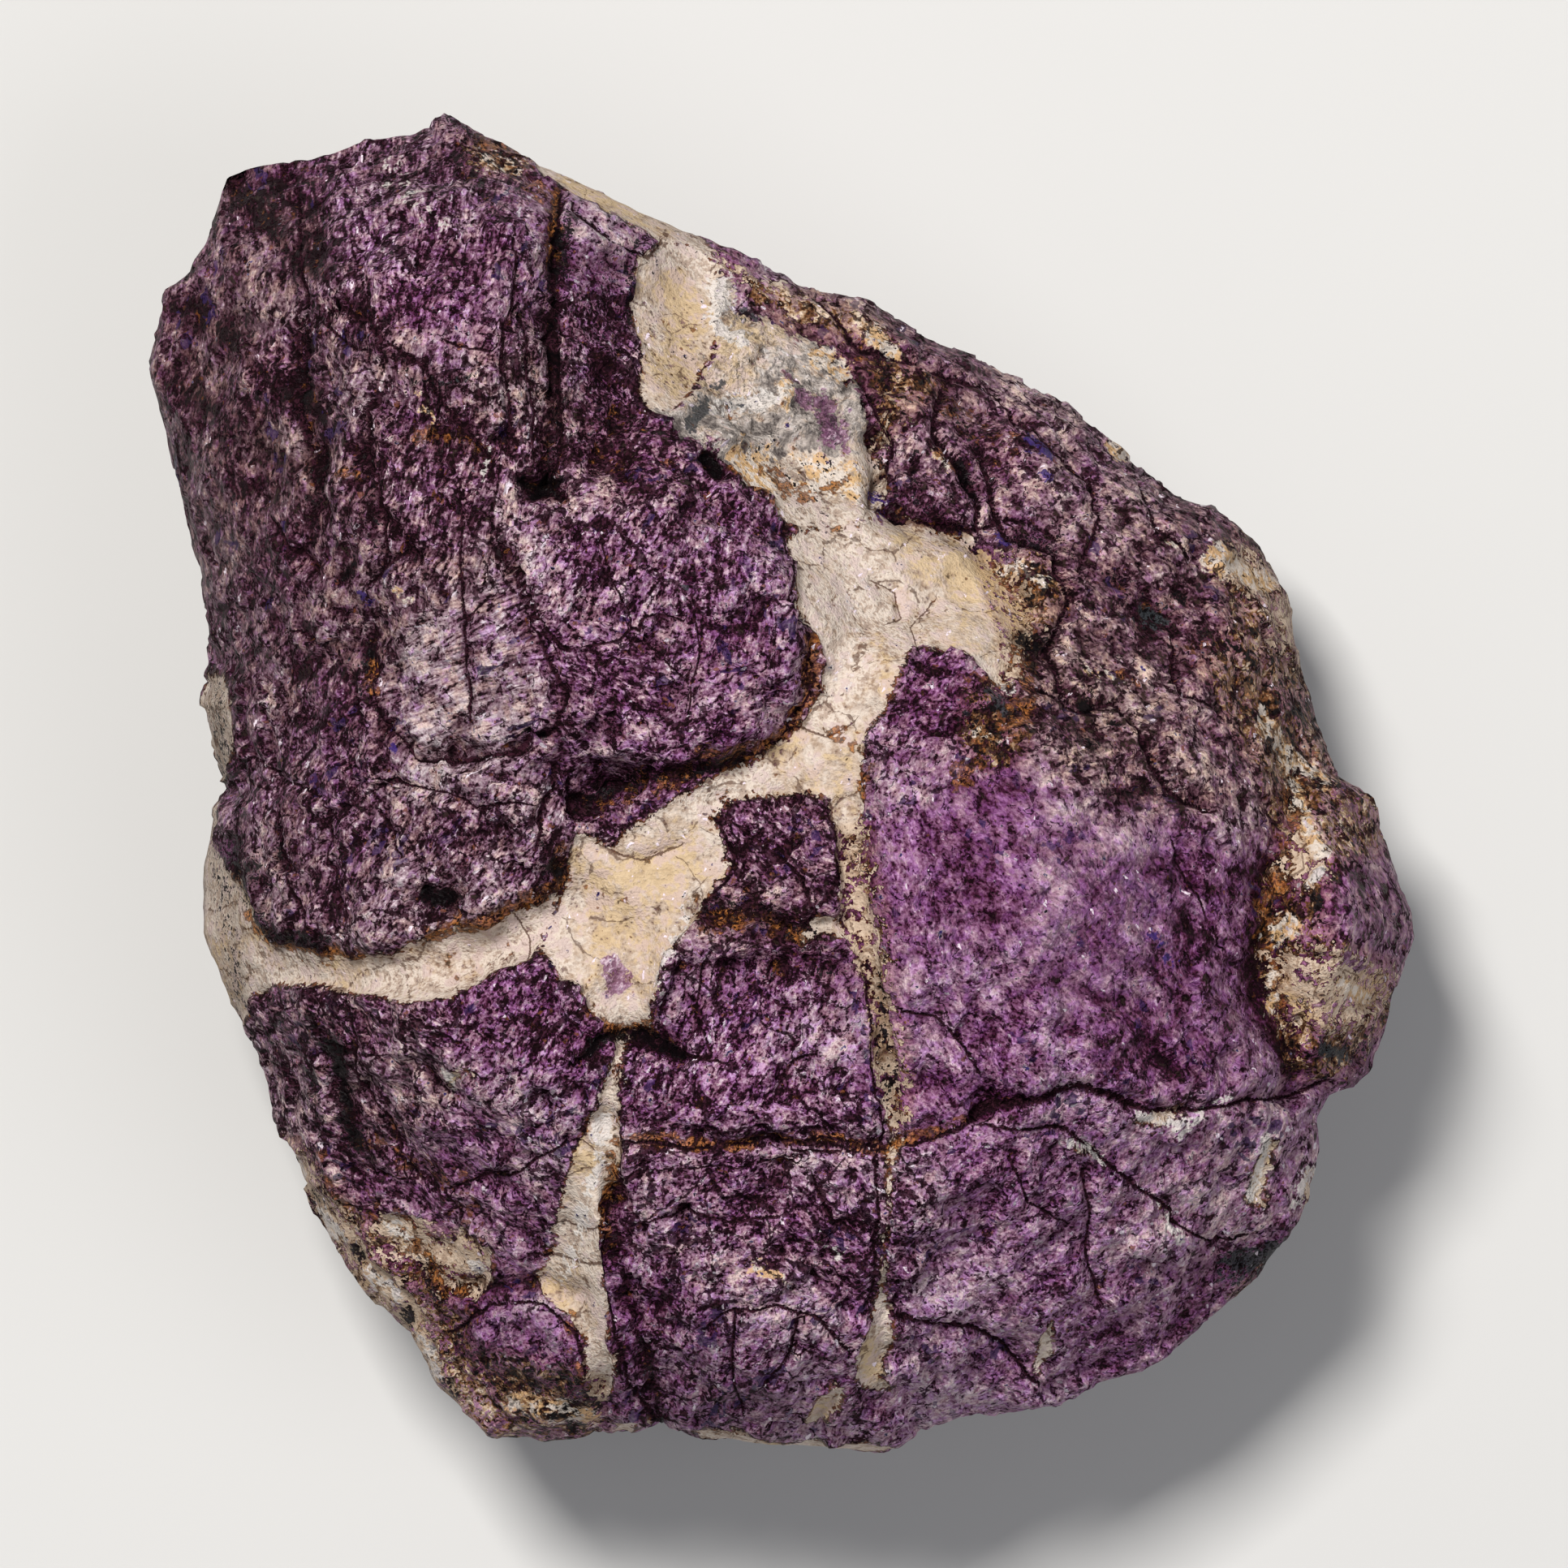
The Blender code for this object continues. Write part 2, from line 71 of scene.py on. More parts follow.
# The form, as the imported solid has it: millimetres
stoneForm = {
    "crownHeight": 36.0, "crownTiltX": -0.10, "crownTiltY": 0.02, "crownFullness": 2.6,
    "rimRounding": 0.62, "rimCrowding": 1.2, "reliefFade": 0.10, "reliefAtRim": 0.25,
    "backInset": 0.24, "backSweep": math.radians(80.0), "backTrim": 0.6, "backRoughening": 3.0,
    "outlineSmoothing": math.radians(9.0), "evenDirections": 720, "notchReach": 0.75,
    "mapOfMiddle": (0.0, 90.0), "frontCells": 232, "sideRows": 36, "baseRings": 5,
    "outline": [
        (-17.7, 35.1), (-19.5, 34.0), (-22.3, 33.6), (-24.7, 32.7), (-28.0, 32.3), (-29.2, 31.8),
        (-30.1, 28.4), (-31.2, 26.8), (-32.5, 25.8), (-32.6, 24.4), (-33.3, 21.9), (-32.6, 19.5),
        (-31.8, 16.7), (-30.6, 11.4), (-29.8, 6.4), (-30.6, 4.3), (-29.8, 0.8), (-29.4, -0.2),
        (-30.1, -1.2), (-30.6, -4.3), (-30.6, -7.9), (-29.3, -11.4), (-27.7, -14.1), (-26.6, -17.6),
        (-25.2, -20.9), (-23.6, -24.4), (-22.5, -26.0), (-19.9, -28.7), (-18.2, -31.7), (-15.5, -34.2),
        (-12.7, -34.6), (-10.6, -34.3), (-9.9, -33.9), (-7.9, -34.0), (-6.3, -33.2), (-4.3, -34.1),
        (-0.8, -34.7), (2.8, -34.9), (5.4, -35.0), (6.8, -33.9), (9.9, -32.8), (14.4, -32.5),
        (16.6, -31.3), (19.0, -30.8), (22.3, -28.3), (25.2, -25.6), (27.0, -23.0), (28.1, -19.3),
        (28.0, -17.6), (28.6, -16.2), (29.8, -15.8), (30.6, -15.0), (31.6, -11.9), (33.3, -8.1),
        (33.1, -6.7), (31.4, -2.4), (31.1, -0.8), (29.1, 0.7), (28.6, 2.3), (27.5, 5.5),
        (26.9, 9.2), (25.3, 12.2), (24.0, 13.6), (22.7, 14.6), (20.6, 15.1), (19.0, 16.5),
        (16.4, 18.9), (14.3, 20.4), (10.0, 22.6), (7.7, 23.5), (4.3, 25.5), (0.9, 26.1),
        (-2.6, 28.0), (-7.1, 29.9), (-11.2, 31.9), (-13.8, 32.9), (-16.4, 34.4),
    ],
    # direction in degrees, height of the widest line
    "rimHeights": [
        (0, 12.0), (45, 12.5), (80, 16.0), (105, 21.0), (122, 23.0), (150, 16.0), (180, 13.5),
        (215, 14.0), (240, 13.0), (262, 18.0), (290, 19.5), (320, 15.0), (345, 12.5), (360, 12.0),
    ],
    # centre x, y, half-widths along and across, turn in degrees, height
    "swellings": {
        "lobe head": (-18.0, 26.5, 9.0, 8.0, 0, 3.6),
        "lobe waist": (-18.5, 14.0, 8.5, 12.0, 0, 2.2),
        "lens block": (-16.3, 4.3, 6.0, 5.0, 0, 1.3),
        "left lower block": (-20.0, -3.0, 8.5, 8.0, 0, 1.4),
        "middle block": (-6.2, 9.0, 9.0, 8.5, 0, 2.4),
        "bottom left block": (-17.0, -15.5, 9.5, 7.0, -20, 1.8),
        "bottom middle block": (-1.8, -22.0, 8.0, 12.0, 0, 2.6),
        "coin block": (0.2, -29.2, 3.6, 3.6, 0, 0.8),
        "right bulge": (13.0, -5.5, 12.5, 10.5, -40, 3.4),
        "bottom right block": (14.0, -23.5, 12.5, 8.0, 15, 2.0),
        "upper right block": (12.0, 14.5, 9.0, 5.5, -35, 1.4),
        "right knob": (30.5, -6.8, 3.6, 6.5, 0, 3.2),
        "bottom left knob": (-12.9, -28.4, 3.4, 2.6, 0, 1.8),
        "pointed cap": (-9.2, 29.0, 2.6, 1.6, -25, 2.2),
    },
    # path, half-width, depth
    "grooves": {
        "rift beside the lobe": ([(-11.8, 31.0), (-11.7, 26.0), (-12.0, 20.0), (-12.2, 15.5)], 0.40, 0.9),
        "rift floor": ([(-8.7, 27.0), (-9.0, 22.0), (-9.3, 16.8)], 2.2, 1.1),
        "hollow at the foot of the rift": ([(-13.0, 15.3), (-11.4, 14.6)], 0.9, 1.6),
        "upper vein": ([(-5.2, 27.5), (-5.6, 22.0), (-1.5, 19.0), (2.0, 15.5)], 2.4, 0.8),
        "undercut below the middle block": ([(-10.6, -1.4), (-7.9, 0.1), (-4.9, 0.3), (-2.4, 1.0)], 1.0, 0.7),
        "vein fork": ([(-4.0, -0.4), (-0.5, 1.6), (2.5, 4.0), (4.2, 8.5), (9.0, 9.8)], 1.9, 0.8),
        "left vein": (
            [(-30.5, -3.0), (-29.0, -7.5), (-25.5, -9.9), (-20.5, -9.8), (-15.5, -9.0), (-12.2, -7.4)],
            1.6, 1.0),
        "bow tie vein": ([(-10.2, -6.2), (-7.6, -8.2), (-7.8, -12.4)], 1.8, 1.0),
        "small block, upper edge": ([(-3.4, -1.0), (0.2, -0.8), (2.8, -1.4)], 0.8, 0.6),
        "small block, lower edge": ([(-4.2, -6.4), (0.0, -7.6), (3.0, -7.2)], 0.9, 0.8),
        "long thin vein": ([(3.6, -1.0), (4.0, -8.0), (5.6, -14.0), (5.6, -20.0), (5.2, -31.0)], 1.0, 0.5),
        "bottom left vein": ([(-8.0, -13.0), (-10.0, -19.0), (-11.4, -25.0), (-9.9, -31.0)], 1.4, 0.4),
        "step beside the bottom vein": (
            [(-9.0, -17.5), (-8.8, -24.0), (-7.6, -29.0), (-6.4, -33.6)], 0.8, 1.0),
        "level crack, left": ([(-7.8, -18.6), (-2.0, -18.6), (5.5, -18.4)], 0.6, 0.22),
        "level crack, right": (
            [(5.5, -18.4), (10.5, -16.8), (15.5, -15.8), (20.0, -16.9), (28.4, -15.8)], 0.5, 0.30),
        "lens crack": ([(-21.0, 4.0), (-19.6, 1.8), (-16.0, 1.5), (-12.0, 2.4)], 0.7, 0.5),
        "seam left of the middle block": (
            [(-15.0, 13.8), (-13.4, 8.5), (-11.4, 5.0), (-11.8, -2.5)], 0.7, 0.4),
        "knob groove": ([(27.2, 2.0), (25.6, -4.5), (24.8, -9.5), (26.8, -15.6)], 1.8, 2.0),
        "upper right seam": ([(4.6, 18.0), (5.2, 14.2), (9.5, 12.6), (12.5, 9.8)], 0.9, 0.9),
        "bulge top seam": ([(4.6, 3.6), (8.0, 2.6), (12.0, 3.6), (18.5, 2.2), (21.8, -1.0)], 0.9, 0.7),
        "knob seam": ([(-17.0, -26.4), (-13.5, -25.8), (-10.6, -26.6)], 0.8, 0.9),
        "lobe flank seam": ([(-24.0, 30.0), (-24.6, 22.0), (-24.2, 14.0), (-25.0, 6.0)], 0.9, 0.5),
    },
    # centre x, y, radius, depth
    "pits": {
        "dark pit by the bottom left block": (-22.6, -16.2, 1.7, 2.0),
        "pit over the left vein": (-17.5, -6.2, 0.9, 1.2),
        "pit in the seam": (-9.4, -0.2, 1.2, 1.2),
        "pit by the upper vein": (-3.6, 16.6, 0.6, 1.4),
        "pit at the right": (19.4, 8.8, 1.2, 1.2),
        "pit under the bow tie": (-7.9, -13.0, 0.8, 0.8),
    },
    # path with the high side on its left, height, width of the step, reach behind it
    "ledges": {
        "lobe cliff": ([(-12.6, 15.0), (-12.8, 22.0), (-12.4, 30.5)], 0.9, 2.6, 5.0),
        "middle block brow": (
            [(-13.0, 1.9), (-9.4, 1.4), (-4.7, 1.1), (-1.6, 2.0), (0.7, 4.4), (1.1, 7.0), (0.0, 11.0)],
            1.5, 1.9, 6.0),
        "left lower block brow": (
            [(-29.2, -1.8), (-28.2, -5.3), (-26.2, -8.0), (-21.5, -8.5), (-15.5, -7.2), (-11.9, -5.2),
             (-11.2, -2.0)], 1.3, 1.9, 6.0),
        "bottom left block brow": (
            [(-9.4, -12.2), (-12.8, -8.6), (-17.0, -10.8), (-27.5, -11.2)], 1.0, 1.8, 5.0),
        "bottom middle block brow": (
            [(-6.6, -33.0), (-7.8, -28.0), (-9.0, -22.0), (-8.0, -14.4), (-5.4, -9.0), (2.6, -8.6)],
            1.2, 2.0, 6.0),
        "right bulge brow": ([(4.8, 3.0), (4.9, -8.0), (6.4, -14.5), (12.0, -15.6)], 0.8, 2.0, 8.0),
        "upper right block brow": ([(12.4, 7.0), (9.6, 12.4), (4.8, 13.4), (4.2, 18.4)], 1.0, 1.9, 6.0),
    },
    # direction it faces, how far up, in degrees, and the bite
    "upperFaces": [
        (172, 40, 1.6), (118, 36, 1.8), (50, 44, 2.6), (222, 40, 2.0), (-6, 52, 1.6), (-50, 46, 2.2),
    ],
    "lowerFaces": [
        (186, -34, 0.8), (136, -16, 0.6), (112, -38, 0.8), (56, -30, 0.9), (12, -44, 1.2),
        (-16, -18, 0.5), (-46, -36, 0.8), (-94, -46, 1.0), (-136, -20, 0.6),
    ],
    # cell size, height, seed
    "frontBreaks": [(6.5, 1.0, 3), (3.4, 0.8, 11), (2.2, 0.4, 23)],
    "sideBreaks": [(8.0, 1.8, 5), (4.0, 1.2, 17)],
    "rimBreaks": [(0.45, 2.2, 41), (0.16, 1.1, 43)],
    # how much sharper and narrower than in the solid, which has larger facets
    "ledgeCrispness": 0.45, "grooveCrispness": 0.72, "ledgeEnd": 1.4,
}


def placed(x, y, z=0.0):
    # points from their three coordinates, with a plain number spread over all of them
    return np.stack(np.broadcast_arrays(x, y, z), axis=1)


def onRays(angle, distance, height=0.0):
    # points at a distance from the middle in each direction
    return placed(np.cos(angle) * distance, np.sin(angle) * distance, height)


# Number patterns, with factors in no simple ratio, so that no repeat shows on the stone
scatter = {
    "place": (127.1, 311.7, 74.7), "seed": 53.3, "wave": 43758.5453,
    "chipShift": 0.37, "slopeSeed": 7, "levelSeed": 13, "levelShare": 0.5,
}


def hashed(cells, seed):
    # the fraction left of a large sine, one for each whole-numbered cell corner
    x, y, z = scatter["place"]
    mixed = cells[..., 0] * x + cells[..., 1] * y + cells[..., 2] * z + seed * scatter["seed"]
    wave = np.sin(mixed) * scatter["wave"]
    return wave - np.floor(wave)


def lattice(points, cell, seed, smooth=False):
    # corner values mixed straight across each cell, or eased, from -1 to 1
    scaled = points / cell + seed
    corner = np.floor(scaled)
    inside = scaled - corner
    if smooth:
        inside = inside * inside * (3.0 - 2.0 * inside)
    value = np.zeros(len(points))
    for step in itertools.product((0, 1), repeat=3):
        weight = np.ones(len(points))
        for axis, near in enumerate(step):
            weight *= inside[:, axis] if near else 1.0 - inside[:, axis]
        value += weight * hashed(corner + step, seed)
    return 2.0 * value - 1.0


def breaks(points, layers, smooth=False):
    # the sum of creased or smooth lattices, each times its height
    return sum(height * lattice(points, cell, seed, smooth) for cell, height, seed in layers)


def chips(points, cell, seed, tilt):
    # small flat faces: each point takes the plane of its nearest jittered cell middle
    scaled = points / cell + seed * scatter["chipShift"]
    corner = np.floor(scaled)
    nearest = np.full(len(points), np.inf)
    height = np.zeros(len(points))
    for step in itertools.product((-1, 0, 1), repeat=3):
        home = corner + step
        jitter = np.stack([hashed(home, seed + axis) for axis in range(3)], axis=1)
        away = scaled - home - jitter
        distance = (away**2).sum(axis=1)
        slopes = [hashed(home, seed + scatter["slopeSeed"] + axis) - 0.5 for axis in range(3)]
        plane = sum(slope * away[:, axis] for axis, slope in enumerate(slopes))
        plane += (hashed(home, seed + scatter["levelSeed"]) - 0.5) * scatter["levelShare"]
        closer = distance < nearest
        nearest = np.where(closer, distance, nearest)
        height = np.where(closer, plane, height)
    return height * tilt


def ease(value, low, high):
    # 0 below low, 1 above high, with a smooth turn between
    t = np.clip((value - low) / (high - low), 0.0, 1.0)
    return t * t * (3.0 - 2.0 * t)


def bell(distance, width):
    # 1 at no distance, falling off as a bell of the given half-width
    return np.exp(-((distance / width) ** 2))


# Distances on the map
def routeDistance(points, route, widths=None):
    # distance to a path of straight runs, its sign to the left, and the width there
    nearest = np.full(len(points), np.inf)
    side = np.ones(len(points))
    width = np.zeros(len(points))
    widths = np.zeros(len(route)) if widths is None else widths
    for start, end, wide0, wide1 in zip(route[:-1], route[1:], widths[:-1], widths[1:]):
        run = end - start
        off = points - start
        along = np.clip((off @ run) / max(run @ run, 1e-12), 0.0, 1.0)
        away = off - along[:, None] * run
        distance = np.hypot(away[:, 0], away[:, 1])
        closer = distance < nearest
        nearest = np.where(closer, distance, nearest)
        side = np.where(closer, np.sign(run[0] * away[:, 1] - run[1] * away[:, 0]), side)
        width = np.where(closer, wide0 + (wide1 - wide0) * along, width)
    return nearest, side, width


def shapeDistance(points, outline):
    # distance to a closed outline, below zero inside it, by counting crossings to the right
    closed = np.vstack([outline, outline[:1]])
    distance = routeDistance(points, closed)[0]
    inside = np.zeros(len(points), dtype=bool)
    for (x0, y0), (x1, y1) in zip(closed[:-1], closed[1:]):
        if y0 == y1:
            continue
        spans = (points[:, 1] < y0) != (points[:, 1] < y1)
        crossing = x0 + (points[:, 1] - y0) * (x1 - x0) / (y1 - y0)
        inside ^= spans & (points[:, 0] < crossing)
    return np.where(inside, -distance, distance)


def ledge(points, path, width, reach):
    # a step from 0 to 1 across a path, high on its left, dying away behind the edge and past the ends
    route = np.array(path)
    nearest, side, _ = routeDistance(points, route)
    past = np.zeros(len(points))
    for end, inner in ((route[0], route[1]), (route[-1], route[-2])):
        off = points - end
        outward = off @ (end - inner) / np.linalg.norm(end - inner)
        atEnd = np.hypot(off[:, 0], off[:, 1]) < nearest + 1e-9
        past = np.where(atEnd, np.maximum(past, outward), past)
    step = 1.0 / (1.0 + np.exp(np.clip(-4.0 * nearest * side / width, -60.0, 60.0)))
    return step * np.exp(-nearest / reach - past / stoneForm["ledgeEnd"])


# The net: a front sheet inside the outline, a skirt below it and a base
def outlineRadius(angle):
    # how far the outline is from the middle in each direction
    points = np.array(stoneForm["outline"])
    rayX, rayY = np.cos(angle), np.sin(angle)
    radius = np.zeros(angle.shape)
    for (x0, y0), (x1, y1) in zip(points, np.roll(points, -1, axis=0)):
        runX, runY = x1 - x0, y1 - y0
        across = rayX * runY - rayY * runX
        safe = np.where(np.abs(across) < 1e-12, 1e-12, across)
        reach = (x0 * runY - y0 * runX) / safe
        along = (x0 * rayY - y0 * rayX) / safe
        hit = (reach > 0.0) & (along >= -1e-9) & (along <= 1.0 + 1e-9)
        radius = np.where(hit, np.maximum(radius, reach), radius)
    return radius


def evenRadius(angle):
    # the outline's radius with its small notches evened out by a rounded weight
    fullTurn, count = 2.0 * math.pi, stoneForm["evenDirections"]
    directions = np.arange(count) * (fullTurn / count)
    radii = outlineRadius(directions)
    weights = bell((directions + math.pi) % fullTurn - math.pi, stoneForm["outlineSmoothing"])
    evened = np.fft.ifft(np.fft.fft(radii) * np.fft.fft(weights)).real / weights.sum()
    return np.interp(angle % fullTurn, np.append(directions, fullTurn), np.append(evened, evened[0]))


def rimHeight(angle):
    # height of the widest line, with the waver of broken stone
    directions, heights = zip(*stoneForm["rimHeights"])
    waver = breaks(onRays(angle, 1.0), stoneForm["rimBreaks"])
    return np.interp(np.degrees(angle) % 360.0, directions, heights) + waver


def brokenFace(points, direction, rise, bite):
    # a plane facing one way that bites a little into the points
    around, up = math.radians(direction), math.radians(rise)
    face = np.array([math.cos(around) * math.cos(up), math.sin(around) * math.cos(up), math.sin(up)])
    return face, (points @ face).max() - bite


def frontRelief(x, y):
    # swellings, grooves, pits and ledges, added up
    form = stoneForm
    flat = np.stack([x, y], axis=1)
    relief = np.zeros(x.shape)
    for middleX, middleY, along, across, turn, height in form["swellings"].values():
        cosine, sine = math.cos(math.radians(turn)), math.sin(math.radians(turn))
        localX = ((x - middleX) * cosine + (y - middleY) * sine) / along
        localY = ((y - middleY) * cosine - (x - middleX) * sine) / across
        relief += height * np.exp(-((localX**2 + localY**2) ** 1.5))
    for path, halfWidth, depth in form["grooves"].values():
        relief -= depth * bell(routeDistance(flat, np.array(path))[0], halfWidth * form["grooveCrispness"])
    for middleX, middleY, radius, depth in form["pits"].values():
        relief -= depth * bell(np.hypot(x - middleX, y - middleY), radius)
    for path, height, width, reach in form["ledges"].values():
        relief += height * ledge(flat, path, width * form["ledgeCrispness"], reach)
    return relief


def frontHeight(x, y, fraction, angle):
    # a tilted dome, trimmed by flat faces, with its relief and breaks fading towards the rim
    form = stoneForm
    relief = frontRelief(x, y)
    rim = rimHeight(angle)
    crown = form["crownHeight"] + form["crownTiltX"] * x + form["crownTiltY"] * y
    rise = np.clip(1.0 - fraction ** form["crownFullness"], 0.0, 1.0) ** form["rimRounding"]
    height = rim + (crown - rim) * rise
    for plane in form["upperFaces"]:
        face, distance = brokenFace(placed(x, y, height), *plane)
        height = np.minimum(height, (distance - face[0] * x - face[1] * y) / face[2])
    relief += breaks(placed(x, y, height), form["frontBreaks"])
    return height + relief * np.clip((1.0 - fraction) / form["reliefFade"], form["reliefAtRim"], 1.0)


def pressedDisc(across, up):
    # a square from -1 to 1 pressed round, ring by ring, with rings closer at the rim
    wider = np.abs(across) >= np.abs(up)
    longer = np.where(wider, across, up)
    shorter = np.where(wider, up, across)
    turn = math.pi / 4.0 * shorter / np.where(longer == 0.0, 1.0, longer)
    longer = np.sign(longer) * (1.0 - np.clip(1.0 - np.abs(longer), 0.0, 1.0) ** stoneForm["rimCrowding"])
    discX = longer * np.where(wider, np.cos(turn), np.sin(turn))
    discY = longer * np.where(wider, np.sin(turn), np.cos(turn))
    return discX, discY


def frontSheet():
    # the pressed square stretched to the outline, with each point's direction and both radii there
    form = stoneForm
    line = np.linspace(-1.0, 1.0, form["frontCells"] + 1)
    gridX, gridY = np.meshgrid(line, line)
    discX, discY = pressedDisc(gridX.ravel(), gridY.ravel())
    angle = np.arctan2(discY, discX)
    radius, even = outlineRadius(angle), evenRadius(angle)
    x, y = discX * radius, discY * radius
    fraction = np.hypot(discX, discY)
    notched = np.clip((fraction - form["notchReach"]) / (1.0 - form["notchReach"]), 0.0, 1.0)
    evened = np.minimum(np.hypot(x, y) / even, 1.0)
    fraction = evened + (fraction - evened) * notched
    return placed(x, y, frontHeight(x, y, fraction, angle)), angle, radius, even


def skirtRings(border, angle, radius, even):
    # the front's border drawn down and in, row by row: points, and how far out each is on the map
    form = stoneForm
    planes = [brokenFace(onRays(angle, radius, rimHeight(angle)), *plane) for plane in form["lowerFaces"]]
    rings, mapReach = [], []
    travelled = np.zeros(len(angle))
    last = border
    for row in range(1, form["sideRows"] + 1):
        t = row / form["sideRows"]
        sweep = t * form["backSweep"]
        inset = form["backInset"] * (1.0 - math.cos(sweep)) / (1.0 - math.cos(form["backSweep"]))
        z = border[:, 2] * (1.0 - math.sin(sweep) / math.sin(form["backSweep"]))
        reach = (radius + np.minimum(even - radius, 0.0) * t) * (1.0 - inset)
        for face, distance in planes:
            outward = face[0] * np.cos(angle) + face[1] * np.sin(angle)
            cut = (distance - face[2] * z) / np.where(outward > 0.0, outward, 1.0)
            reach = np.where(outward > 0.0, np.minimum(reach, cut), reach)
        trim = form["backTrim"] + breaks(onRays(angle, reach, z), form["sideBreaks"])
        reach = reach - min(t * form["backRoughening"], 1.0) * trim
        ring = onRays(angle, reach, z)
        travelled = travelled + np.linalg.norm(ring - last, axis=1)
        rings.append(ring)
        mapReach.append(radius + travelled)
        last = ring
    return rings, mapReach, reach


def stoneNet():
    # Front, skirt, and base rings that shrink to one middle point, joined by quads and a last fan.
    # The map is the front seen from above, and beyond it the way travelled down the skirt.
    cells, baseRings = stoneForm["frontCells"], stoneForm["baseRings"]
    front, angle, radius, even = frontSheet()
    index = np.arange((cells + 1) ** 2).reshape(cells + 1, cells + 1)
    border = np.concatenate([index[0, :-1], index[:-1, -1], index[-1, :0:-1], index[:0:-1, 0]])
    angle, radius, even = angle[border], radius[border], even[border]
    rings, mapReach, foot = skirtRings(front[border], angle, radius, even)
    mapFoot = mapReach[-1]
    for step in range(1, baseRings):
        shrink = 1.0 - step / baseRings
        rings.append(onRays(angle, foot) * shrink)
        mapReach.append(mapFoot + foot * (1.0 - shrink))
    points = np.vstack([front, *rings, [[0.0, 0.0, 0.0]]])
    mapped = [onRays(angle, reach)[:, :2] for reach in mapReach]
    mapped = np.vstack([front[:, :2], *mapped, [stoneForm["mapOfMiddle"]]])

    squares = np.stack([index[:-1, :-1], index[:-1, 1:], index[1:, 1:], index[1:, :-1]], axis=-1)
    faces = [squares.reshape(-1, 4)]
    above = border
    for row in range(len(rings)):
        below = len(front) + row * len(border) + np.arange(len(border))
        faces.append(np.stack([above, below, np.roll(below, -1), np.roll(above, -1)], axis=1))
        above = below
    fan = np.stack([above, np.full(len(border), len(points) - 1), np.roll(above, -1)], axis=1)
    return points, mapped, np.vstack(faces), fan


def fitToSize(points):
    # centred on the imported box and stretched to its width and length
    low, high = points[:, :2].min(axis=0), points[:, :2].max(axis=0)
    wanted = np.array([stoneWide, stoneLong])
    middle = np.array([cadBox[0][axis] + cadBox[1][axis] for axis in (0, 1)]) / 2.0 / mm
    fitted = points.copy()
    fitted[:, :2] = (points[:, :2] - (low + high) / 2.0) * wanted / (high - low) + middle
    return fitted


def pointNormals(points, quads, fan):
    # the average of the faces round each point, larger faces counting more
    total = np.zeros_like(points)
    for faces in (quads, fan):
        first = points[faces[:, 2]] - points[faces[:, 0]]
        second = points[faces[:, -1]] - points[faces[:, 1]]
        facing = np.cross(first, second)
        for corner in range(faces.shape[1]):
            np.add.at(total, faces[:, corner], facing)
    return total / np.maximum(np.linalg.norm(total, axis=1), 1e-12)[:, None]


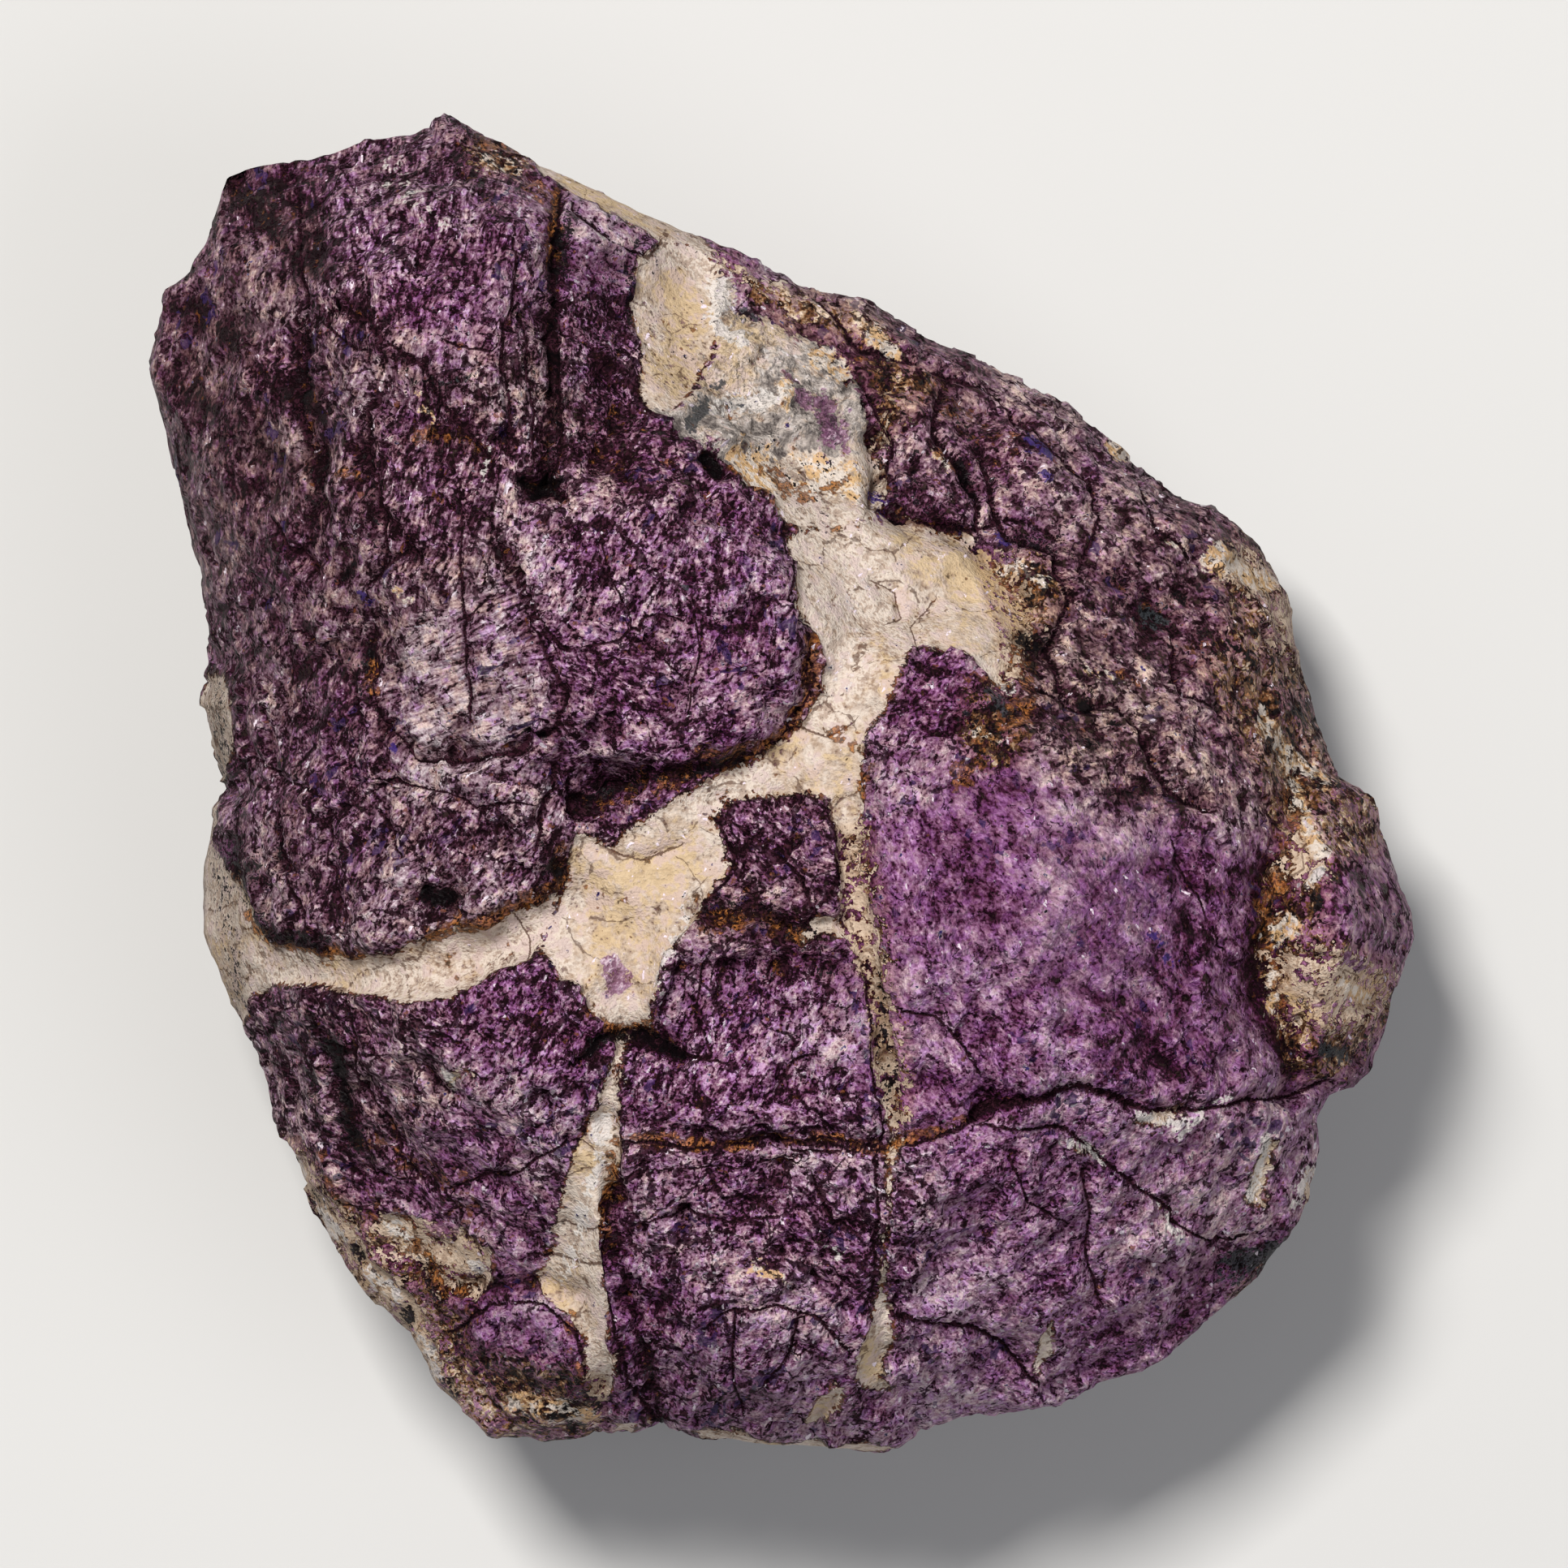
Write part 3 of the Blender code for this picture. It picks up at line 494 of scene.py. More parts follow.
# What is drawn on the stone, in photograph pixels: outlines of the wide veins
veins = {
    "left rim, upper": [
        (222, 842), (240, 835), (262, 836), (276, 833), (286, 850), (288, 900), (281, 948), (272, 972),
        (258, 950), (240, 925), (212, 915), (190, 880), (204, 862)],
    "left vein": [
        (262, 985), (263, 1040), (285, 1080), (310, 1110), (332, 1142), (352, 1165), (400, 1178),
        (440, 1178), (490, 1165), (540, 1147), (600, 1138), (650, 1122), (692, 1104), (690, 1140),
        (664, 1158), (640, 1185), (600, 1205), (560, 1220), (500, 1223), (450, 1220), (400, 1218),
        (345, 1215), (312, 1225), (302, 1262), (275, 1235), (250, 1262), (214, 1240), (196, 1262),
        (172, 1200), (190, 1150), (176, 1100), (214, 1062), (240, 1005)],
    "bow tie": [
        (704, 1041), (710, 1025), (730, 1035), (758, 1041), (800, 1009), (835, 985), (865, 990),
        (879, 1003), (892, 1041), (898, 1067), (876, 1092), (863, 1118), (844, 1150), (825, 1175),
        (816, 1213), (806, 1245), (796, 1268), (768, 1264), (752, 1252), (730, 1226), (691, 1198),
        (668, 1165), (672, 1140), (690, 1120), (698, 1105), (701, 1073)],
    "neck": [
        (835, 988), (863, 972), (895, 952), (929, 940), (960, 915), (985, 893), (1003, 861), (1040, 870),
        (1074, 880), (1062, 915), (1058, 950), (1065, 997), (1059, 1020), (1045, 1040), (1034, 1028),
        (1020, 1000), (1016, 985), (990, 975), (950, 980), (905, 985), (880, 1003), (860, 1000)],
    "middle vein": [
        (978, 672), (978, 707), (985, 744), (1000, 781), (1010, 818), (1004, 861), (1000, 885), (1071, 895),
        (1085, 875), (1096, 855), (1108, 818), (1127, 793), (1164, 796), (1189, 812), (1205, 832),
        (1232, 849), (1251, 824), (1257, 787), (1263, 744), (1238, 707), (1226, 676), (1201, 657),
        (1139, 648), (1077, 636), (1045, 640), (1010, 655), (990, 660)],
    "quartz foot": [
        (890, 556), (903, 576), (925, 604), (952, 612), (962, 640), (985, 655), (1040, 650), (1076, 642),
        (1090, 600), (1082, 560), (1070, 530), (1030, 545), (985, 535), (940, 550)],
    "upper vein": [
        (818, 302), (798, 322), (786, 346), (783, 380), (789, 420), (795, 460), (797, 500), (806, 514),
        (828, 516), (846, 490), (862, 462), (876, 436), (886, 400), (886, 360), (884, 326), (860, 306),
        (840, 300)],
    "rim strip": [
        (664, 208), (675, 226), (700, 240), (740, 258), (780, 280), (815, 300), (846, 312), (850, 290),
        (880, 240), (800, 190), (700, 150), (650, 150)],
    "bottom left vein": [
        (738, 1352), (763, 1350), (761, 1423), (747, 1468), (739, 1512), (742, 1544), (746, 1579),
        (750, 1602), (748, 1640), (756, 1669), (756, 1702), (735, 1712), (722, 1690), (718, 1665),
        (723, 1637), (700, 1605), (685, 1598), (658, 1580), (672, 1552), (682, 1512), (694, 1468),
        (708, 1423), (724, 1385)],
    "coin patch": [(1000, 1742), (1005, 1715), (1025, 1697), (1042, 1700), (1036, 1725), (1015, 1748)],
    "bottom strip": [
        (836, 1752), (863, 1757), (895, 1765), (946, 1770), (1030, 1774), (1092, 1774), (1112, 1780),
        (1092, 1800), (1052, 1806), (1020, 1832), (975, 1812), (930, 1818), (884, 1796), (846, 1790)],
    "bottom fleck": [(758, 1757), (790, 1752), (802, 1750), (780, 1768), (770, 1800), (750, 1790)],
    "flank patch, upper": [
        (460, 1505), (485, 1490), (520, 1500), (536, 1520), (530, 1548), (500, 1562), (474, 1545)],
    "flank patch, lower": [(534, 1535), (575, 1513), (606, 1533), (614, 1565), (592, 1594), (553, 1592)],
    "right rim patch, white": [
        (1556, 1180), (1585, 1168), (1620, 1172), (1660, 1182), (1700, 1196), (1705, 1225), (1670, 1255),
        (1630, 1262), (1600, 1248), (1572, 1225)],
    "right rim patch, low": [
        (1537, 1478), (1545, 1440), (1560, 1400), (1572, 1405), (1560, 1445), (1552, 1482)],
    "right rim strip": [(1600, 1530), (1606, 1480), (1618, 1440), (1650, 1440), (1640, 1500), (1620, 1540)],
    "right rim fleck, upper": [
        (1560, 745), (1582, 738), (1600, 760), (1604, 795), (1585, 800), (1566, 780)],
    "right rim fleck, top": [(1510, 690), (1535, 676), (1566, 700), (1575, 722), (1550, 722), (1525, 715)],
    "right rim fleck, middle": [(1580, 1040), (1600, 1010), (1614, 1030), (1618, 1075), (1600, 1088)],
    "bottom right fleck": [(1276, 1690), (1280, 1650), (1292, 1622), (1296, 1660), (1288, 1695)],
}

# route and half-widths along it
thinVeins = {
    "long vein": (
        [
            (1046, 1000), (1043, 1060), (1050, 1110), (1062, 1160), (1074, 1200), (1086, 1250),
            (1092, 1300), (1098, 1350), (1102, 1395), (1094, 1430), (1088, 1480), (1083, 1530),
            (1086, 1580), (1088, 1612), (1078, 1650), (1070, 1688), (1098, 1708)],
        [14, 14, 18, 13, 11, 13, 12, 10, 7, 3, 2, 2, 3, 10, 18, 13, 5]),
    "flank stripe": (
        [
            (338, 1400), (365, 1440), (395, 1490), (430, 1535), (470, 1580), (505, 1630), (530, 1690),
            (560, 1745)],
        [8, 14, 15, 15, 17, 20, 18, 14]),
    "branch below the small block": ([(1050, 1140), (1012, 1133), (985, 1150)], [8, 9, 3]),
    "stem of the bottom left vein": ([(773, 1268), (762, 1305), (752, 1345)], [3, 5, 10]),
    "crack filling, right": ([(1398, 1375), (1425, 1370), (1452, 1362)], [4, 6, 3]),
    "crack filling, low": ([(1312, 1402), (1335, 1412), (1352, 1425)], [3, 5, 2]),
    "cream thread by the strip": ([(845, 292), (900, 330), (960, 352)], [8, 5, 3]),
    # the glint thread is a pale thread painted where a highlight shows
    "glint thread": ([(560, 1325), (575, 1310), (590, 1318)], [3, 4, 2]),
}

# the grey glassy mineral, and the zones where grains of all kinds are mixed
quartz = [
    (806, 512), (830, 505), (850, 485), (872, 450), (884, 420), (886, 370), (892, 345), (905, 375),
    (925, 396), (960, 402), (1000, 425), (1030, 455), (1052, 490), (1072, 530), (1074, 552), (1030, 560),
    (985, 548), (950, 566), (920, 560), (903, 570), (872, 552), (850, 544), (828, 524)]

mottled = {
    "right rim": [
        (1500, 660), (1560, 640), (1700, 780), (1700, 900), (1800, 1000), (1640, 1080), (1640, 1150),
        (1720, 1180), (1740, 1260), (1650, 1340), (1580, 1330), (1548, 1220), (1530, 1120), (1560, 1040),
        (1530, 930), (1470, 830), (1500, 760)],
    "right rim, low": [(1590, 1520), (1604, 1440), (1680, 1440), (1680, 1540), (1560, 1640), (1520, 1600)],
    "lower left flank": [
        (325, 1385), (372, 1400), (420, 1450), (470, 1490), (530, 1500), (600, 1530), (612, 1590),
        (560, 1600), (600, 1650), (690, 1670), (745, 1690), (760, 1790), (600, 1900), (400, 1800),
        (240, 1500), (270, 1390)],
    "over the middle vein": [
        (1195, 670), (1290, 690), (1320, 720), (1290, 770), (1266, 830), (1228, 850), (1226, 780),
        (1212, 720)],
    "long vein": [
        (1030, 1015), (1078, 1010), (1090, 1100), (1112, 1230), (1128, 1370), (1100, 1390), (1076, 1300),
        (1058, 1210), (1036, 1120)],
    "below the vein's right end": [
        (1170, 850), (1215, 840), (1260, 860), (1262, 930), (1220, 960), (1180, 940)],
    "upper right": [(1050, 440), (1120, 430), (1180, 470), (1130, 520), (1080, 560), (1070, 500)],
    "upper edge": [
        (880, 300), (960, 350), (1050, 380), (1110, 410), (1090, 440), (1000, 420), (920, 380), (890, 340)],
    "top of the lobe": [(560, 165), (600, 160), (660, 200), (650, 235), (610, 225), (575, 205)],
}

# route, half-width of the dark line in pixels, depth in millimetres
cracks = {
    "level, right": ([
        (1108, 1400), (1150, 1393), (1180, 1385), (1200, 1366), (1215, 1354), (1260, 1350), (1300, 1341),
        (1330, 1336), (1362, 1346), (1400, 1358), (1440, 1364), (1500, 1360), (1540, 1354), (1600, 1345),
        (1640, 1332)], [3, 3.5, 3.5, 4.5, 5.5, 6, 6.5, 6, 5, 4, 3, 2.6, 2.2, 2.6, 2], 0.9),
    "level, right, twin": ([(1200, 1378), (1240, 1383), (1290, 1379)], 3.0, 0.5),
    "level, left": ([
        (776, 1400), (850, 1405), (900, 1402), (960, 1400), (1000, 1398), (1095, 1401)], 2.4, 0.45),
    "level, left, twin": ([(980, 1412), (1030, 1411), (1080, 1407)], 2.5, 0.4),
    "level, left, third": ([(780, 1440), (850, 1431), (915, 1428), (980, 1425)], 2.0, 0.4),
    "falling from the level crack": ([
        (1290, 1380), (1312, 1387), (1330, 1405), (1350, 1420), (1380, 1440), (1400, 1460),
        (1440, 1490)], 3.0, 0.7),
    "rift line": ([
        (693, 255), (690, 350), (688, 400), (688, 450), (690, 500), (696, 560),
        (680, 600)], [3, 4, 5.5, 6.5, 6, 3.5, 3], 0.8),
    "long upright": ([
        (576, 600), (575, 680), (574, 720), (577, 760), (580, 800), (583, 840), (585, 885)], 2.0, 0.5),
    "round the lens": ([
        (610, 640), (630, 700), (660, 770), (690, 830), (700, 860), (690, 905), (660, 917), (640, 925),
        (600, 931), (560, 933), (520, 935), (500, 915), (480, 890), (470, 850),
        (468, 800)], [1.5, 2, 2, 2.5, 2.5, 2.5, 3.5, 3.5, 2.5, 2.5, 2, 1.5, 1.2, 1.2, 1], 0.5),
    "below the lens": ([(690, 940), (680, 970), (672, 1010), (668, 1045)], [3, 5, 4.5, 2], 0.6),
    "below the lens, second": ([(705, 955), (708, 980), (712, 1005)], 2.2, 0.4),
    "left, first": ([(410, 985), (414, 1050), (426, 1105)], 2.0, 0.45),
    "left, second": ([(350, 1000), (360, 1060), (375, 1110), (392, 1152)], 2.2, 0.5),
    "lobe, falling": ([
        (468, 412), (486, 434), (505, 445), (535, 460), (548, 496), (566, 520), (590, 545),
        (606, 565)], 3.2, 0.8),
    "lobe, second": ([(396, 404), (425, 422), (445, 434), (478, 441)], 2.2, 0.7),
    "lobe, third": ([(402, 392), (430, 384), (450, 397), (472, 402)], 4.4, 0.9),
    "lobe, fourth": ([(560, 428), (585, 436), (612, 440)], 2.0, 0.6),
    "lobe, fifth": ([
        (466, 506), (467, 545), (456, 566), (464, 590), (474, 616), (478, 650), (483, 692)], 3.6, 0.9),
    "lobe, sixth": ([(468, 722), (482, 703), (500, 690), (516, 684)], 3.6, 0.9),
    "lobe, seventh": ([(398, 556), (404, 590), (412, 632)], 5.0, 0.9),
    "lobe, eighth": ([(350, 648), (370, 684), (394, 706)], 3.0, 0.8),
    "lobe, ninth": ([(366, 396), (366, 460)], 3.0, 0.7),
    "lobe, tenth": ([(648, 326), (645, 378), (630, 412), (626, 452), (634, 505), (632, 560)], 3.0, 0.8),
    "lens, twin": ([(640, 700), (652, 728), (668, 762), (690, 792), (708, 802)], 3.2, 0.8),
    "lens, nick": ([(578, 768), (596, 752), (612, 738)], 2.0, 0.6),
    "left lower, slanting": ([(478, 958), (500, 968), (560, 974), (600, 998)], 1.8, 0.6),
    "left lower, level": ([(600, 990), (630, 986), (660, 988)], 1.6, 0.6),
    "left lower, falling": ([(474, 1002), (488, 1024), (502, 1052)], 2.0, 0.6),
    "flank, slanting": ([(330, 942), (360, 958), (400, 980), (418, 1002)], 2.2, 0.7),
    "flank, short": ([(362, 776), (384, 774), (400, 788)], 1.8, 0.6),
    "lobe, flank": ([
        (372, 250), (378, 350), (380, 430), (382, 520), (395, 600)], [1.6, 2.6, 4.6, 4.2, 2.4], 0.7),
    "lobe, short": ([(470, 595), (478, 620), (482, 645)], 2.0, 0.5),
    "lobe, right": ([(640, 300), (655, 400), (660, 480), (668, 580)], 2.4, 0.5),
    "bulge, top": ([(1400, 910), (1430, 960), (1452, 985), (1482, 1000)], 4.5, 0.8),
    "bottom right": ([
        (1098, 1610), (1150, 1625), (1200, 1635), (1230, 1655), (1260, 1685), (1276, 1698)], 3.6, 0.7),
    "coin, top": ([
        (872, 1622), (900, 1606), (960, 1600), (1012, 1620), (1042, 1652)], [1.2, 2.4, 2.2, 3.0, 3.6], 0.6),
    "coin, left": ([(908, 1612), (903, 1650), (904, 1690), (918, 1735)], 2.4, 0.6),
    "coin, chord": ([(985, 1612), (984, 1640), (972, 1668), (940, 1702)], 2.2, 0.55),
    "coin, second chord": ([(948, 1662), (985, 1656), (1020, 1668)], 1.8, 0.5),
    "below the bow tie": ([(780, 1270), (820, 1281), (860, 1295), (892, 1301)], [5, 5, 3.5, 1.5], 0.6),
    "left of the bow tie": ([(706, 1305), (730, 1288), (756, 1272)], 3.0, 0.5),
    "hook": ([(960, 1342), (966, 1318), (975, 1300), (1002, 1290)], 2.4, 0.4),
    "bulge, lower left": ([(1110, 1240), (1150, 1246), (1180, 1280), (1202, 1312)], 2.4, 0.4),
    "beside the bottom left vein": ([
        (762, 1385), (768, 1440), (752, 1490), (748, 1545), (752, 1600), (765, 1650), (775, 1700),
        (808, 1745)], [2, 3, 2.5, 3, 2.5, 3, 3.5, 5], 0.5),
    "small block, diagonal": ([(890, 1000), (935, 1035), (982, 1072), (1000, 1110)], 2.6, 0.5),
    "small block, right": ([(1020, 990), (1030, 1040), (1022, 1100), (990, 1138)], 3.0, 0.6),
    "small block, left": ([(884, 1005), (905, 1050), (900, 1075), (880, 1100)], 2.4, 0.5),
    "thin vein, left wall": ([
        (1060, 1180), (1070, 1250), (1078, 1320), (1086, 1390), (1078, 1440), (1074, 1520),
        (1072, 1600)], 2.4, 0.5),
    "middle block, right wall": ([(970, 650), (975, 740), (996, 800), (996, 860), (960, 905)], 2.0, 0.4),
    "cap, under": ([(712, 262), (760, 300), (806, 322), (818, 300)], 3.2, 0.6),
    "upper right, first": ([
        (1060, 470), (1085, 520), (1098, 550), (1082, 590), (1076, 625), (1112, 642),
        (1190, 654)], 3.4, 0.9),
    "upper right, second": ([(1110, 640), (1180, 655), (1240, 640), (1300, 660)], 2.4, 0.7),
    "upper right, third": ([(1165, 480), (1152, 530), (1180, 575), (1198, 600), (1206, 650)], 5.0, 0.9),
    "upper right, fifth": ([(1216, 560), (1224, 620), (1240, 665), (1290, 680)], 3.6, 0.8),
    "upper right, sixth": ([(1300, 560), (1345, 590), (1352, 640), (1330, 700)], 2.4, 0.7),
    "upper right, seventh": ([(1300, 690), (1312, 740), (1290, 800), (1310, 850)], 3.0, 0.8),
    "upper right, eighth": ([(1400, 590), (1420, 640), (1470, 690)], 2.4, 0.7),
    "above the bulge, first": ([(1280, 850), (1330, 870), (1372, 860), (1400, 900)], 2.6, 0.8),
    "above the bulge, second": ([(1440, 790), (1450, 850), (1500, 880)], 2.4, 0.7),
    "bottom middle, first": ([(800, 1500), (850, 1488), (900, 1500), (960, 1490)], 2.0, 0.6),
    "bottom middle, second": ([(1000, 1440), (1020, 1490), (1050, 1510)], 2.0, 0.6),
    "middle, seam": ([(730, 800), (770, 790), (800, 760), (850, 770)], 1.8, 0.55),
    "bottom right, veinlet": ([(1330, 1440), (1342, 1490), (1338, 1540), (1352, 1600)], 2.2, 0.7),
    "bottom right, branch": ([(1240, 1420), (1262, 1470), (1310, 1500)], 1.8, 0.6),
    "bottom right, rim": ([(1440, 1500), (1490, 1530), (1540, 1520)], 2.0, 0.7),
    "upper right, fourth": ([(1000, 370), (1060, 430), (1130, 445), (1220, 480), (1300, 560)], 2.6, 0.7),
    "middle block, fan": ([(740, 640), (760, 720), (800, 800), (860, 850)], 1.6, 0.3),
    "middle block, second": ([(850, 720), (862, 800), (850, 880)], 1.5, 0.3),
    "bottom middle, radial": ([(870, 1180), (860, 1240), (880, 1290)], 1.6, 0.3),
    "bottom left, diagonal": ([(470, 1440), (560, 1460), (640, 1440), (700, 1400)], 2.0, 0.5),
    "bottom left, fall": ([(430, 1230), (450, 1330), (500, 1420), (560, 1480), (590, 1540)], 2.2, 0.5),
    "knob, top": ([(560, 1640), (610, 1600), (670, 1600), (715, 1640), (722, 1680)], 3.0, 0.6),
    "right bulge, stripe": ([(1440, 1040), (1470, 1100), (1500, 1160)], 1.8, 0.3),
    "bottom vein, slanting": ([(716, 1400), (738, 1418), (757, 1444)], 2.0, 0.6),
    "bottom vein, level": ([(686, 1500), (715, 1508), (744, 1506)], 1.8, 0.6),
    "bottom vein, low": ([(668, 1538), (700, 1548), (742, 1552)], 2.6, 0.6),
    "bow tie, top": ([(744, 1040), (795, 1058), (840, 1040)], 1.8, 0.6),
    "middle vein, loop": ([(1075, 712), (1108, 730), (1112, 752), (1096, 762)], 1.4, 0.6),
    "middle vein, slanting": ([(1130, 800), (1120, 765), (1150, 735)], 1.2, 0.5),
    "neck, across": ([(985, 895), (1015, 905), (1050, 885)], 1.6, 0.6),
    "left vein, across": ([(640, 1130), (655, 1150), (650, 1170)], 1.6, 0.6),
}
